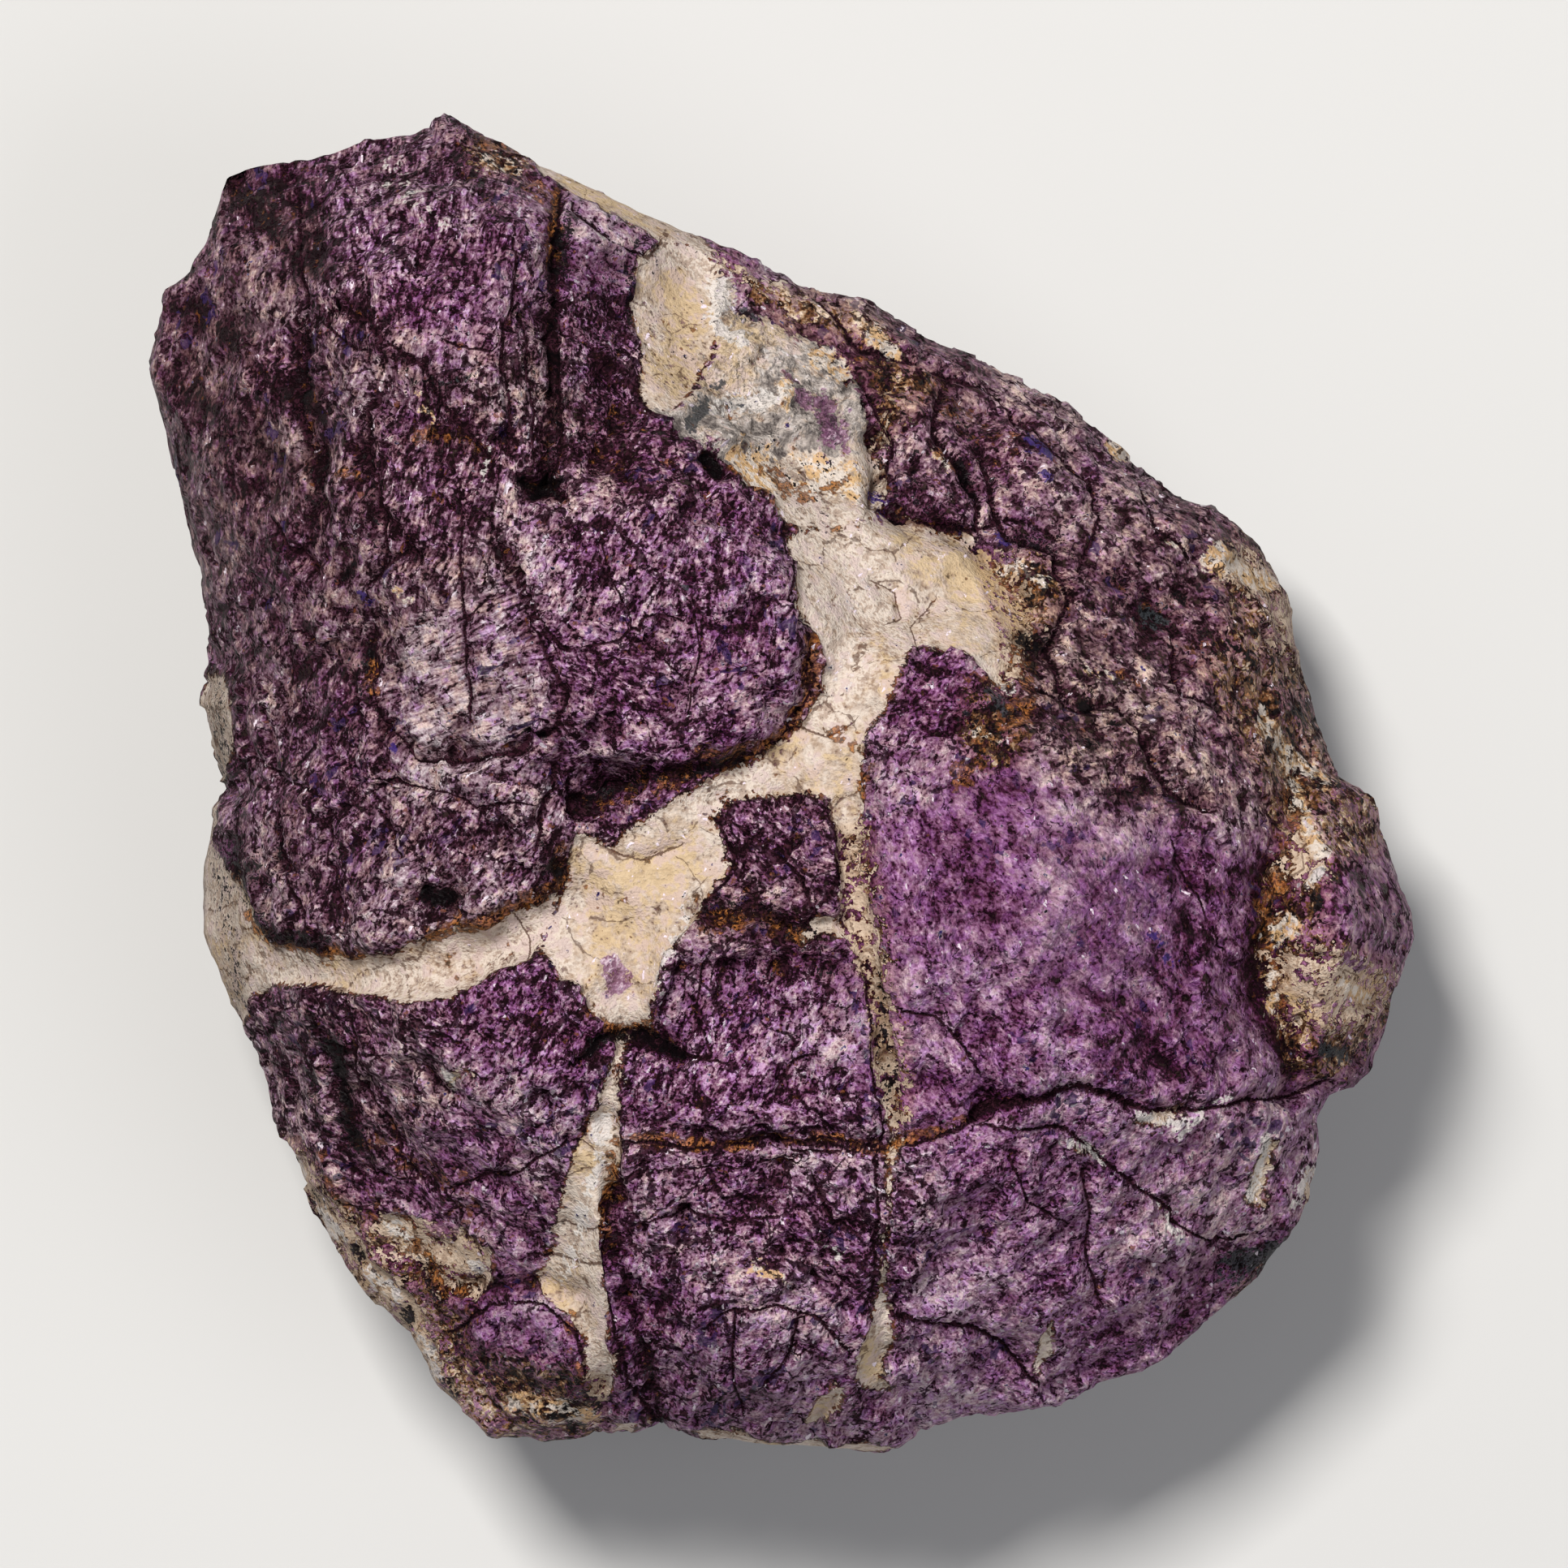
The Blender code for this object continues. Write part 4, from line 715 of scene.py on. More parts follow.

# rust, dark grains with painted shade, and pale or coloured stains: route, half-width in pixels, strength
stains = {
    "rust": [
        ([(540, 1148), (600, 1133), (655, 1112), (688, 1092)], 11, 1.2),
        ([(870, 932), (930, 926), (975, 886), (998, 850), (996, 790)], 10, 0.9),
        ([(1180, 960), (1212, 920), (1240, 905), (1262, 860), (1258, 800)], 22, 0.8),
        ([(1560, 900), (1590, 1000), (1575, 1050)], 20, 0.45),
        ([(1575, 1080), (1556, 1110), (1550, 1145)], 12, 0.9),
        ([(1560, 1160), (1562, 1200), (1575, 1240)], 7, 0.8),
        ([(500, 1545), (530, 1555), (545, 1600)], 9, 0.9),
        ([(395, 1420), (430, 1480), (460, 1500)], 12, 0.5),
        ([(700, 1600), (705, 1660), (725, 1700)], 10, 0.6),
        ([(776, 1397), (900, 1399), (1095, 1402)], 8, 0.9), ([(688, 320), (686, 235)], 11, 0.8),
        ([(596, 165), (640, 205), (668, 260)], 20, 0.7), ([(740, 1000), (800, 970), (860, 955)], 14, 0.6),
        ([(296, 1120), (336, 1164), (400, 1178), (450, 1176)], 7, 1.1),
        ([(752, 1395), (748, 1480), (746, 1560)], 9, 0.7),
        ([(470, 1400), (560, 1450), (590, 1520)], 26, 0.45),
        ([(1480, 800), (1560, 870), (1600, 930)], 26, 0.35),
        ([(1110, 1395), (1150, 1386), (1180, 1375)], 10, 0.9),
        ([(870, 1140), (930, 1130), (990, 1150)], 12, 0.7),
        ([(730, 1240), (770, 1268), (800, 1262)], 9, 0.8),
        ([(1130, 470), (1200, 520), (1240, 560)], 18, 0.5), ([(1190, 830), (1240, 850)], 14, 0.6),
        ([(480, 1490), (530, 1560), (580, 1620)], 20, 0.6),
        ([(1020, 900), (1050, 920), (1065, 950)], 10, 0.8), ([(690, 1045), (690, 1085)], 8, 0.8),
        ([(1300, 1640), (1320, 1600), (1400, 1540)], 20, 0.25),
        ([(905, 580), (940, 612), (965, 632)], 9, 1.0), ([(960, 585), (1010, 612), (1040, 590)], 12, 0.8),
        ([(985, 655), (1040, 652), (1078, 640)], 6, 0.5), ([(1060, 445), (1085, 470)], 8, 0.6),
        ([(1160, 560), (1172, 572)], 9, 0.9), ([(1380, 832), (1395, 838)], 8, 0.9),
        ([(465, 815), (470, 850)], 6, 0.9), ([(520, 540), (560, 545), (600, 560)], 10, 0.7),
        ([(430, 585), (445, 592)], 6, 1.0), ([(950, 575), (1000, 620)], 9, 0.9),
        ([(1240, 700), (1290, 740)], 18, 0.7), ([(1060, 960), (1062, 1000)], 7, 0.8)],
    # dark places: painted shade in the rift, on the fin, in pits and under the brows, and some dark grey
    # grains
    "dusk": [
        ([(690, 250), (688, 350), (688, 500), (682, 600)], 13, 0.65),
        ([(1078, 1190), (1092, 1290), (1100, 1370)], 10, 0.8),
        ([(742, 340), (745, 450), (742, 560)], 46, 0.35), ([(716, 275), (706, 300), (702, 340)], 9, 1.1),
        ([(790, 300), (778, 340), (780, 400)], 7, 0.9), ([(645, 600), (664, 616)], 8, 1.5),
        ([(664, 618), (692, 606)], 9, 1.5), ([(698, 296), (700, 330)], 7, 1.1),
        ([(690, 440), (688, 500)], 7, 1.1), ([(716, 990), (780, 965), (860, 950), (905, 938)], 13, 0.8),
        ([(682, 1040), (674, 1105)], 12, 0.8), ([(534, 1100), (548, 1108), (562, 1106)], 15, 1.3),
        ([(648, 914), (672, 908)], 9, 1.15), ([(684, 1062), (690, 1080)], 9, 1.1),
        ([(876, 568), (884, 580)], 9, 1.5), ([(762, 1276), (785, 1274), (812, 1286), (850, 1292)], 9, 1.3),
        ([(708, 1300), (752, 1276)], 9, 1.1),
        ([(412, 1285), (425, 1310), (428, 1350), (436, 1400)], 17, 1.15),
        ([(385, 1320), (392, 1345)], 12, 1.0), ([(860, 1120), (930, 1118), (1000, 1148)], 18, 0.7),
        ([(1410, 755), (1432, 762)], 20, 0.7), ([(1275, 775), (1290, 785)], 14, 0.7),
        ([(812, 1745), (818, 1765)], 12, 1.0), ([(1520, 1560), (1590, 1550)], 42, 0.75),
        ([(1090, 440), (1085, 560), (1100, 640)], 16, 0.6),
        ([(290, 1040), (300, 1100), (336, 1146), (400, 1164)], 15, 0.95),
        ([(350, 1010), (356, 1060)], 8, 0.8), ([(570, 1640), (620, 1690), (720, 1710)], 26, 0.55),
        ([(1640, 1290), (1690, 1300)], 22, 0.6),
        ([(395, 395), (450, 430), (505, 465), (560, 520), (600, 560)], 11, 0.55),
        ([(370, 330), (376, 430), (372, 500)], 11, 0.5), ([(400, 520), (405, 600), (398, 660)], 12, 0.45),
        ([(455, 560), (462, 640), (470, 700)], 10, 0.5), ([(640, 330), (650, 420), (660, 500)], 12, 0.5),
        ([(440, 790), (450, 860)], 14, 0.4), ([(1125, 560), (1130, 620), (1180, 650)], 9, 0.8),
        ([(1160, 480), (1200, 540), (1230, 600)], 10, 0.6),
        ([(1290, 640), (1330, 700), (1390, 720)], 12, 0.5), ([(560, 150), (590, 170)], 14, 0.8),
        ([(510, 480), (580, 475)], 16, 0.6), ([(1170, 660), (1240, 690)], 18, 0.5),
        ([(1190, 880), (1230, 930)], 18, 0.6), ([(383, 430), (385, 480), (378, 525)], 8, 0.9),
        ([(404, 560), (410, 620)], 9, 0.8), ([(462, 790), (464, 832)], 9, 0.9),
        ([(430, 716), (446, 702)], 8, 0.95), ([(1262, 782), (1280, 790)], 15, 1.3),
        ([(1185, 575), (1196, 612)], 9, 1.2), ([(1245, 665), (1290, 678)], 11, 0.9),
        ([(1335, 858), (1342, 866)], 9, 1.2), ([(1366, 884), (1370, 888)], 7, 1.2),
        ([(1262, 722), (1268, 735)], 9, 1.1), ([(1450, 730), (1456, 735)], 8, 1.1),
        ([(1475, 775), (1480, 785)], 8, 0.9), ([(1325, 905), (1345, 912)], 8, 1.0),
        ([(820, 320), (850, 420), (850, 470)], 40, 0.22), ([(385, 1475), (395, 1485)], 9, 1.0),
        ([(430, 1540), (445, 1552)], 9, 1.0), ([(495, 1620), (505, 1632)], 10, 1.0),
        ([(520, 1570), (545, 1600)], 9, 0.9), ([(545, 1700), (560, 1720)], 12, 0.9),
        ([(310, 1060), (322, 1090)], 12, 0.8), ([(940, 565), (1040, 600)], 42, 0.42),
        ([(1000, 1180), (1040, 1190)], 20, 0.5), ([(300, 400), (260, 560)], 30, 0.25),
        ([(262, 850), (272, 960)], 26, 0.75), ([(252, 1010), (270, 1120), (292, 1230)], 20, 0.65)],
    "amber": [
        ([(846, 350), (850, 400), (836, 470)], 15, 0.9), ([(1130, 665), (1190, 700), (1230, 740)], 34, 0.9),
        ([(1075, 790), (1085, 830)], 26, 0.8), ([(1130, 770), (1180, 790)], 20, 0.5),
        ([(725, 1060), (780, 1072), (830, 1055)], 24, 0.6), ([(770, 1110), (750, 1140)], 18, 0.5),
        ([(980, 900), (950, 930)], 14, 0.7), ([(320, 1150), (345, 1190)], 14, 0.6),
        ([(520, 1175), (580, 1190)], 16, 0.8), ([(700, 215), (760, 250), (830, 290)], 12, 0.8),
        ([(720, 1620), (735, 1690)], 16, 0.6), ([(1070, 1630), (1080, 1690)], 14, 0.9),
        ([(860, 1760), (960, 1772)], 12, 0.6), ([(1010, 1720), (1030, 1730)], 12, 0.8),
        ([(1568, 1170), (1576, 1235), (1620, 1262)], 9, 0.9), ([(1690, 1205), (1680, 1235)], 12, 0.7),
        ([(1005, 590), (1050, 600)], 24, 0.8), ([(920, 570), (950, 600)], 22, 0.8),
        ([(905, 385), (930, 420), (960, 410)], 12, 0.6)],
    "slate": [
        ([(860, 498), (853, 526)], 11, 0.8), ([(895, 500), (905, 505)], 8, 0.6),
        ([(876, 482), (900, 470)], 8, 0.4), ([(915, 385), (930, 395)], 10, 0.6),
        ([(1206, 850), (1222, 880), (1244, 890)], 11, 0.55), ([(1520, 1560), (1585, 1545)], 26, 0.9),
        ([(1640, 1292), (1655, 1300)], 12, 0.9), ([(822, 718), (852, 722)], 9, 0.6),
        ([(560, 480), (575, 476)], 12, 0.6), ([(1405, 752), (1430, 764)], 13, 0.8)],
    # pale mineral, except the routes at (556, 1310), (735, 292) and along the lobe head from (478, 215),
    # which are painted highlights
    "frost": [
        ([(1398, 1362), (1425, 1372), (1450, 1376)], 7, 0.8),
        ([(1312, 1402), (1335, 1412), (1356, 1428)], 7, 0.8),
        ([(1440, 1392), (1470, 1370), (1500, 1345)], 9, 0.6),
        ([(1558, 1404), (1552, 1440), (1540, 1476)], 8, 0.8), ([(1230, 842), (1240, 850)], 9, 0.8),
        ([(604, 545), (600, 585), (588, 620)], 4, 0.8), ([(556, 1310), (562, 1332)], 7, 0.7),
        ([(880, 500), (915, 505), (945, 490)], 15, 0.8), ([(885, 350), (890, 400), (905, 425)], 14, 0.8),
        ([(1610, 1090), (1622, 1074)], 8, 1.0), ([(1000, 1525), (1040, 1535)], 8, 0.6),
        ([(735, 292), (742, 294)], 7, 1.0), ([(1590, 1475), (1610, 1440)], 10, 0.7),
        ([(478, 215), (505, 250), (540, 262), (560, 280)], 22, 0.3),
        ([(745, 1370), (735, 1430), (708, 1510), (690, 1565)], 12, 0.6),
        ([(866, 1080), (838, 1150), (806, 1235)], 12, 0.42), ([(345, 1415), (370, 1450)], 10, 0.7),
        ([(400, 1500), (420, 1528)], 10, 0.7), ([(455, 1565), (482, 1602)], 11, 0.7),
        ([(515, 1650), (530, 1690)], 11, 0.6), ([(480, 1508), (500, 1532)], 10, 0.6),
        ([(560, 1540), (592, 1560)], 10, 0.6), ([(1050, 720), (1060, 780), (1030, 840)], 16, 0.3),
        ([(1420, 1480), (1450, 1520)], 8, 0.6)],
    "violet": [
        ([(982, 488), (992, 498)], 14, 0.9), ([(1012, 500), (1020, 535)], 17, 1.0),
        ([(752, 1180), (772, 1200)], 15, 0.9), ([(262, 1035), (290, 1055)], 13, 0.9),
        ([(1215, 668), (1240, 690)], 13, 0.8), ([(1650, 1175), (1675, 1190)], 12, 0.7),
        ([(1250, 640), (1275, 665)], 16, 0.7), ([(1440, 1080), (1470, 1130), (1480, 1170)], 26, 0.5),
        ([(738, 330), (748, 420), (740, 510)], 22, 0.45),
        ([(1085, 640), (1110, 600), (1140, 620)], 20, 0.35), ([(960, 462), (985, 470)], 9, 0.6),
        ([(1035, 520), (1045, 555)], 9, 0.6)],
    "blue": [
        ([(1266, 556), (1286, 561)], 12, 1.0), ([(1276, 588), (1284, 591)], 7, 0.8),
        ([(824, 721), (828, 724)], 5, 0.9), ([(850, 722), (855, 724)], 5, 0.9),
        ([(1234, 660), (1240, 672)], 9, 0.7), ([(1078, 605), (1084, 630)], 9, 0.6),
        ([(455, 735), (462, 745)], 7, 0.9), ([(490, 920), (496, 930)], 6, 0.8),
        ([(1410, 1150), (1440, 1180)], 10, 0.45)],
    "tan": [
        ([(920, 565), (950, 600)], 22, 1.0), ([(1005, 590), (1050, 600)], 22, 0.9),
        ([(962, 468), (968, 505)], 12, 0.8), ([(1010, 440), (1035, 455)], 15, 0.9),
        ([(1070, 415), (1098, 432)], 13, 0.8), ([(1500, 686), (1535, 700), (1560, 716)], 16, 0.9),
        ([(1560, 872), (1558, 900)], 11, 0.9), ([(1585, 930), (1625, 960)], 14, 0.6),
        ([(1572, 900), (1590, 960), (1606, 1018)], 10, 0.8), ([(1606, 1018), (1622, 1048)], 12, 1.0),
        ([(1560, 1150), (1590, 1140)], 14, 0.9), ([(1560, 1200), (1556, 1240)], 10, 0.8),
        ([(1240, 700), (1290, 720)], 14, 0.7), ([(1330, 830), (1380, 836)], 11, 0.5),
        ([(480, 1505), (500, 1540), (530, 1550)], 16, 0.6),
        ([(640, 1720), (690, 1735), (720, 1740)], 22, 0.6), ([(492, 722), (510, 742)], 14, 0.4),
        ([(520, 505), (545, 525)], 13, 0.6), ([(600, 195), (640, 215)], 16, 0.5),
        ([(1660, 1215), (1690, 1230)], 14, 0.7), ([(930, 1545), (960, 1560)], 11, 0.5),
        ([(1150, 555), (1165, 575)], 8, 0.8), ([(1368, 548), (1382, 560)], 11, 1.0),
        ([(1432, 660), (1440, 670)], 8, 0.7), ([(1204, 905), (1226, 915)], 9, 0.8),
        ([(930, 560), (1000, 565), (1050, 575)], 18, 0.55)],
}

# middle, fibre direction in degrees from +X, silvery part, which is partly painted sheen, lightness, which is
# partly painted light and shade (flanks and fin turned from the light darker, the lens lighter), calm part of
# the relief, mottling, fibres
blocks = {
    "lobe head": ((500, 250), 74, 0.52, -0.03, -0.13, 0.0, 0.75),
    "lobe, right": ((610, 380), 68, 0.3, -0.09, 0.02, 0.2, 0.75),
    "lobe, middle": ((440, 450), 80, 0.6, -0.16, -0.03, 0.3, 0.85),
    "left flank, upper": ((300, 300), 86, 0.75, -0.19, 0.3, 0.4, 0.9),
    "left flank, lower": ((290, 600), 84, 0.8, -0.19, 0.35, 0.4, 0.9),
    "lobe waist": ((520, 640), 72, 0.6, -0.14, -0.02, 0.4, 1.0),
    "lobe waist, left": ((400, 760), 80, 0.6, -0.19, 0.05, 0.4, 0.8),
    "lens": ((585, 850), 24, 0.85, 0.1, 0.3, 0.0, 1.0),
    "left lower": ((400, 980), 70, 0.6, -0.11, -0.05, 0.2, 0.8),
    "left lower, right": ((580, 1040), 58, 0.7, -0.02, -0.1, 0.1, 0.7),
    "fin": ((740, 440), 84, 0.3, -0.12, -0.75, 0.1, 0.2),
    "fin, left": ((672, 480), 84, 0.75, -0.06, -0.1, 0.5, 0.5),
    "cap": ((760, 295), 150, 0.4, 0.08, 0.2, 0.0, 0.3),
    "below the fin": ((760, 590), 20, 0.45, -0.08, -0.2, 0.7, 0.3),
    "middle, upper": ((760, 690), 62, 0.43, 0.0, -0.1, 0.1, 0.7),
    "middle, right": ((900, 740), 78, 0.33, -0.02, -0.05, 0.1, 0.55),
    "middle, lower": ((760, 860), -18, 0.4, -0.04, -0.05, 0.1, 0.3),
    "middle, brow": ((880, 900), 30, 0.35, 0.02, -0.05, 0.2, 0.3),
    "small block": ((950, 1060), -42, 0.4, -0.1, -0.3, 0.3, 0.2),
    "small block, below": ((930, 1125), 10, 0.4, -0.16, -0.1, 0.9, 0.1),
    "bulge, top": ((1250, 1010), -50, 0.1, 0.0, 0.65, 0.1, 0.2),
    "bulge, middle": ((1330, 1130), -56, 0.0, -0.03, 0.7, 0.0, 0.3),
    "bulge, left": ((1130, 1120), -74, 0.05, 0.01, 0.5, 0.0, 0.2),
    "bulge, low": ((1200, 1270), -40, 0.05, 0.05, 0.35, 0.1, 0.1),
    "bulge, right": ((1480, 1200), -62, 0.0, -0.14, 0.4, 0.3, 0.5),
    "bottom right": ((1300, 1480), 26, 0.2, 0.1, 0.15, 0.1, 0.1),
    "bottom right, low": ((1250, 1630), -24, 0.2, 0.12, 0.2, 0.1, 0.1),
    "bottom right, rim": ((1500, 1470), 60, 0.25, 0.06, 0.3, 0.4, 0.1),
    "bottom middle, upper": ((920, 1230), 66, 0.2, 0.02, -0.15, 0.1, 0.6),
    "bottom middle": ((900, 1490), 18, 0.33, -0.01, -0.28, 0.1, 0.1),
    "bottom middle, right": ((1010, 1510), -30, 0.33, -0.01, -0.23, 0.1, 0.1),
    "coin": ((970, 1670), 48, 0.3, 0.06, 0.05, 0.0, 0.5),
    "coin, left": ((840, 1650), 75, 0.25, 0.0, -0.1, 0.1, 0.3),
    "bottom left, right": ((650, 1270), 58, 0.1, -0.08, -0.25, 0.1, 0.6),
    "bottom left": ((480, 1320), -38, 0.6, -0.1, -0.15, 0.3, 0.6),
    "bottom left, low": ((580, 1450), -30, 0.2, -0.05, -0.05, 0.3, 0.3),
    "knob": ((670, 1640), 30, 0.1, 0.03, 0.2, 0.0, 0.2),
    "upper right, left": ((1140, 590), 46, 0.5, 0.02, 0.1, 0.7, 0.1),
    "upper right": ((1250, 540), 20, 0.5, -0.01, 0.15, 0.8, 0.1),
    "upper right, edge": ((1160, 440), -30, 0.6, -0.12, 0.35, 0.7, 0.1),
    "upper right, low": ((1400, 780), -28, 0.7, -0.04, 0.3, 0.8, 0.1),
    "upper right, rim": ((1540, 860), -60, 0.6, -0.03, 0.35, 0.9, 0.1),
    "upper right, middle": ((1150, 870), 50, 0.2, 0.0, 0.1, 0.5, 0.2),
    "above the bulge": ((1330, 890), 10, 0.8, -0.03, 0.25, 1.0, 0.1),
    "right knob": ((1690, 1080), -74, 0.1, -0.09, 0.5, 1.0, 0.3),
}

# How the drawn shapes are shaken and joined, in millimetres. A pattern is cell, height and seed.
drawing = {
    "shakes": (((2.2, 0.30, 61), (0.8, 0.13, 62)), ((2.2, 0.30, 71), (0.8, 0.13, 72))),
    "sways": (((2.6, 1.5, 51), (1.1, 0.5, 53)), ((2.6, 1.5, 52), (1.1, 0.5, 54))),
    "patches": ((3.4, 0.20, 57), (1.7, 0.13, 57), (0.9, 0.08, 57)), "patchShift": 40.0,
    "beyond": (0.2, 2.4), "beyondShake": 2.2, "beyondLoss": 0.55,
    "beyondBreaks": ((2.3, 1.8, 77), (1.0, 0.8, 79)), "lineShake": 0.45, "far": 9.0,
    "crackSpread": 1.3, "crackLeast": 0.22, "crackLineMost": 8.0, "crackNearMost": 3.0,
    "blockBorder": 0.8, "blocksApart": 17.3,
}

# The fields kept on the mesh, three to an attribute
meshFields = {
    "edges": ("vein", "quartzEdge", "zone"), "traits": ("silver", "light", "calm"),
    "stains": ("rust", "dusk", "amber"), "spots": ("slate", "frost", "violet"),
    "lines": ("crackLine", "crackNear", "crackBold"), "clouds": ("patch", "blue", "mottle"),
    "hollows": ("hollowNear", "hollowFar", "tan"),
}


def stainStrength(points, routes):
    # the greatest strength of any route that a point is near, fading over the route's half-width
    strength = np.zeros(len(points))
    for route, halfWidth, amount in routes:
        nearest = routeDistance(points, fromPhoto(route))[0]
        strength = np.maximum(strength, amount * bell(nearest, halfWidth * pixel))
    return strength


def nearestShape(points, outlines):
    # distance to the nearest of some closed outlines, below zero inside them
    distance = np.full(len(points), drawing["far"])
    for outline in outlines:
        distance = np.minimum(distance, shapeDistance(points, fromPhoto(outline)))
    return distance


def veinDistance(edge, line, flat, beyond):
    # distance to the nearest wide or thin vein, with veins broken up where they run down the sides
    vein = nearestShape(edge, veins.values())
    for route, halfWidths in thinVeins.values():
        nearest, _, width = routeDistance(line, fromPhoto(route), np.array(halfWidths, dtype=float) * pixel)
        vein = np.minimum(vein, nearest - width)
    return vein + beyond * (drawing["beyondLoss"] + breaks(flat, drawing["beyondBreaks"], True))


def crackFields(line):
    # how far across its width the nearest crack is, how near, how bold, and how deep all of them cut
    crackNear = np.full(len(line), drawing["far"])
    crackLine, crackBold, crackDepth = crackNear.copy(), np.zeros(len(line)), np.zeros(len(line))
    for route, halfWidth, depth in cracks.values():
        halfWidths = np.broadcast_to(np.asarray(halfWidth, dtype=float) * pixel, len(route))
        nearest, side, width = routeDistance(line, fromPhoto(route), halfWidths)
        closer = nearest < crackNear
        crackLine = np.where(closer, nearest * side / width, crackLine)
        crackBold = np.where(closer, depth, crackBold)
        crackNear = np.where(closer, nearest, crackNear)
        spread = np.maximum(width * drawing["crackSpread"], drawing["crackLeast"])
        crackDepth = np.maximum(crackDepth, depth * bell(nearest, spread))
    crackLine = np.clip(crackLine, -drawing["crackLineMost"], drawing["crackLineMost"])
    crackNear = np.minimum(crackNear, drawing["crackNearMost"])
    return {"crackLine": crackLine, "crackNear": crackNear, "crackBold": crackBold, "crackDepth": crackDepth}


def blockFields(edge):
    # the block that each point is on, and the traits of the blocks round it, mixed by nearness
    middles = fromPhoto([middle for middle, *_ in blocks.values()])
    traits = np.array([values[2:6] for values in blocks.values()], dtype=float)
    away = np.hypot(edge[:, None, 0] - middles[None, :, 0], edge[:, None, 1] - middles[None, :, 1])
    near = np.exp(-away / drawing["blockBorder"])
    near /= near.sum(axis=1, keepdims=True)
    silver, light, calm, mottle = (near @ traits).T
    return {"home": away.argmin(axis=1), "silver": silver, "light": light, "calm": calm, "mottle": mottle}


def fibreMap(mapped, home):
    # the map turned along each block's fibres, apart from the next block's, with the fibres' strength
    turn = np.radians([values[1] for values in blocks.values()])[home]
    strength = np.array([values[-1] for values in blocks.values()])[home]
    across = mapped[:, 1] * np.cos(turn) - mapped[:, 0] * np.sin(turn) + home * drawing["blocksApart"]
    along = mapped[:, 0] * np.cos(turn) + mapped[:, 1] * np.sin(turn)
    return np.stack([across, along, strength], axis=1)


def drawnFields(mapped):
    # every drawn shape as a number at each point, on a map shaken a little so that edges are ragged
    x, y = mapped.T
    flat = placed(x, y)
    shake = np.stack([breaks(flat, layers, True) for layers in drawing["shakes"]], axis=1)
    beyond = ease(np.hypot(x, y) - outlineRadius(np.arctan2(y, x)), *drawing["beyond"])
    edge = mapped + shake * (1.0 + drawing["beyondShake"] * beyond)[:, None]
    line = mapped + drawing["lineShake"] * shake
    swayX, swayY = (breaks(flat, layers, True) for layers in drawing["sways"])
    fields = {name: stainStrength(edge, routes) for name, routes in stains.items()}
    fields.update(crackFields(line))
    fields.update(blockFields(edge))
    fields.update({
        "vein": veinDistance(edge, line, flat, beyond), "zone": nearestShape(edge, mottled.values()),
        "quartzEdge": shapeDistance(edge, fromPhoto(quartz)), "map": placed(x + swayX, y + swayY),
        "patch": 0.5 + breaks(flat + drawing["patchShift"], drawing["patches"], True),
    })
    print("drawn shapes placed,", len(fields), "fields")
    return fields


# Relief of the finished surface, with lengths in millimetres: chips are cell, seed and tilt, laminae are
# cell across and along the fibres, height and seed, and crumbs and grains are cell, height and seed
surfaceRelief = {
    "chips": [(2.8, 81, 0.95), (1.3, 83, 0.45)],
    "laminae": [((1.1, 4.2), 0.14, 91), ((0.5, 2.0), 0.09, 93)],
    "crumbs": [(2.5, 0.30, 101), (1.25, 0.20, 103), (0.7, 0.12, 105)], "crumbLevel": 0.28,
    "calmLoss": 0.75, "calmLimits": (0.5, 1.15), "sideShare": 0.5,
    "veinRim": (-0.10, 0.25), "veinRecess": 0.25, "veinChips": 0.25, "veinGrain": [(0.75, 0.10, 95)],
    "zoneRim": (-0.3, 0.4), "zoneGrain": [(0.9, 0.26, 97)],
    "lipMiddle": 0.25, "lipHeight": 0.12, "lipReach": 0.30, "duskDepth": 0.2, "crackShare": 0.5,
    "hollowPasses": (5, 40), "groundLevel": 1e-6,
}


def fineRelief(points, fields, grain):
    # outward movement: chips, laminae and crumbs on purple, grains in veins, cracks cut in
    relief = surfaceRelief
    chipped = sum(chips(points, *layer) for layer in relief["chips"])
    purple = chipped.copy()
    for (across, along), height, seed in relief["laminae"]:
        purple += height * lattice(grain / np.array([across, along, 1.0]), 1.0, seed)
    for cell, height, seed in relief["crumbs"]:
        purple += height * (np.abs(lattice(points, cell, seed, True)) - relief["crumbLevel"])
    purple *= np.clip(1.0 - relief["calmLoss"] * fields["calm"], *relief["calmLimits"])
    inVein = ease(-fields["vein"], *relief["veinRim"])
    filling = breaks(points, relief["veinGrain"], True) + relief["veinChips"] * chipped - relief["veinRecess"]
    outward = purple * (1.0 - inVein) + filling * inVein
    outward += relief["lipHeight"] * bell(fields["vein"] - relief["lipMiddle"], relief["lipReach"])
    outward += ease(-fields["zone"], *relief["zoneRim"]) * breaks(points, relief["zoneGrain"])
    return outward - relief["crackShare"] * fields["crackDepth"] - relief["duskDepth"] * fields["dusk"]


def blurred(grid, passes, wrapped):
    # each value moved to the mean of itself and its four neighbours, again and again
    for _ in range(passes):
        padded = np.pad(grid, 1, mode="edge")
        if wrapped:
            padded[1:-1, 0], padded[1:-1, -1] = grid[:, -1], grid[:, 0]
        middle, sides = padded[1:-1], padded[:, 1:-1]
        grid = (sides[1:-1] + sides[:-2] + sides[2:] + middle[:, :-2] + middle[:, 2:]) / 5.0
    return grid
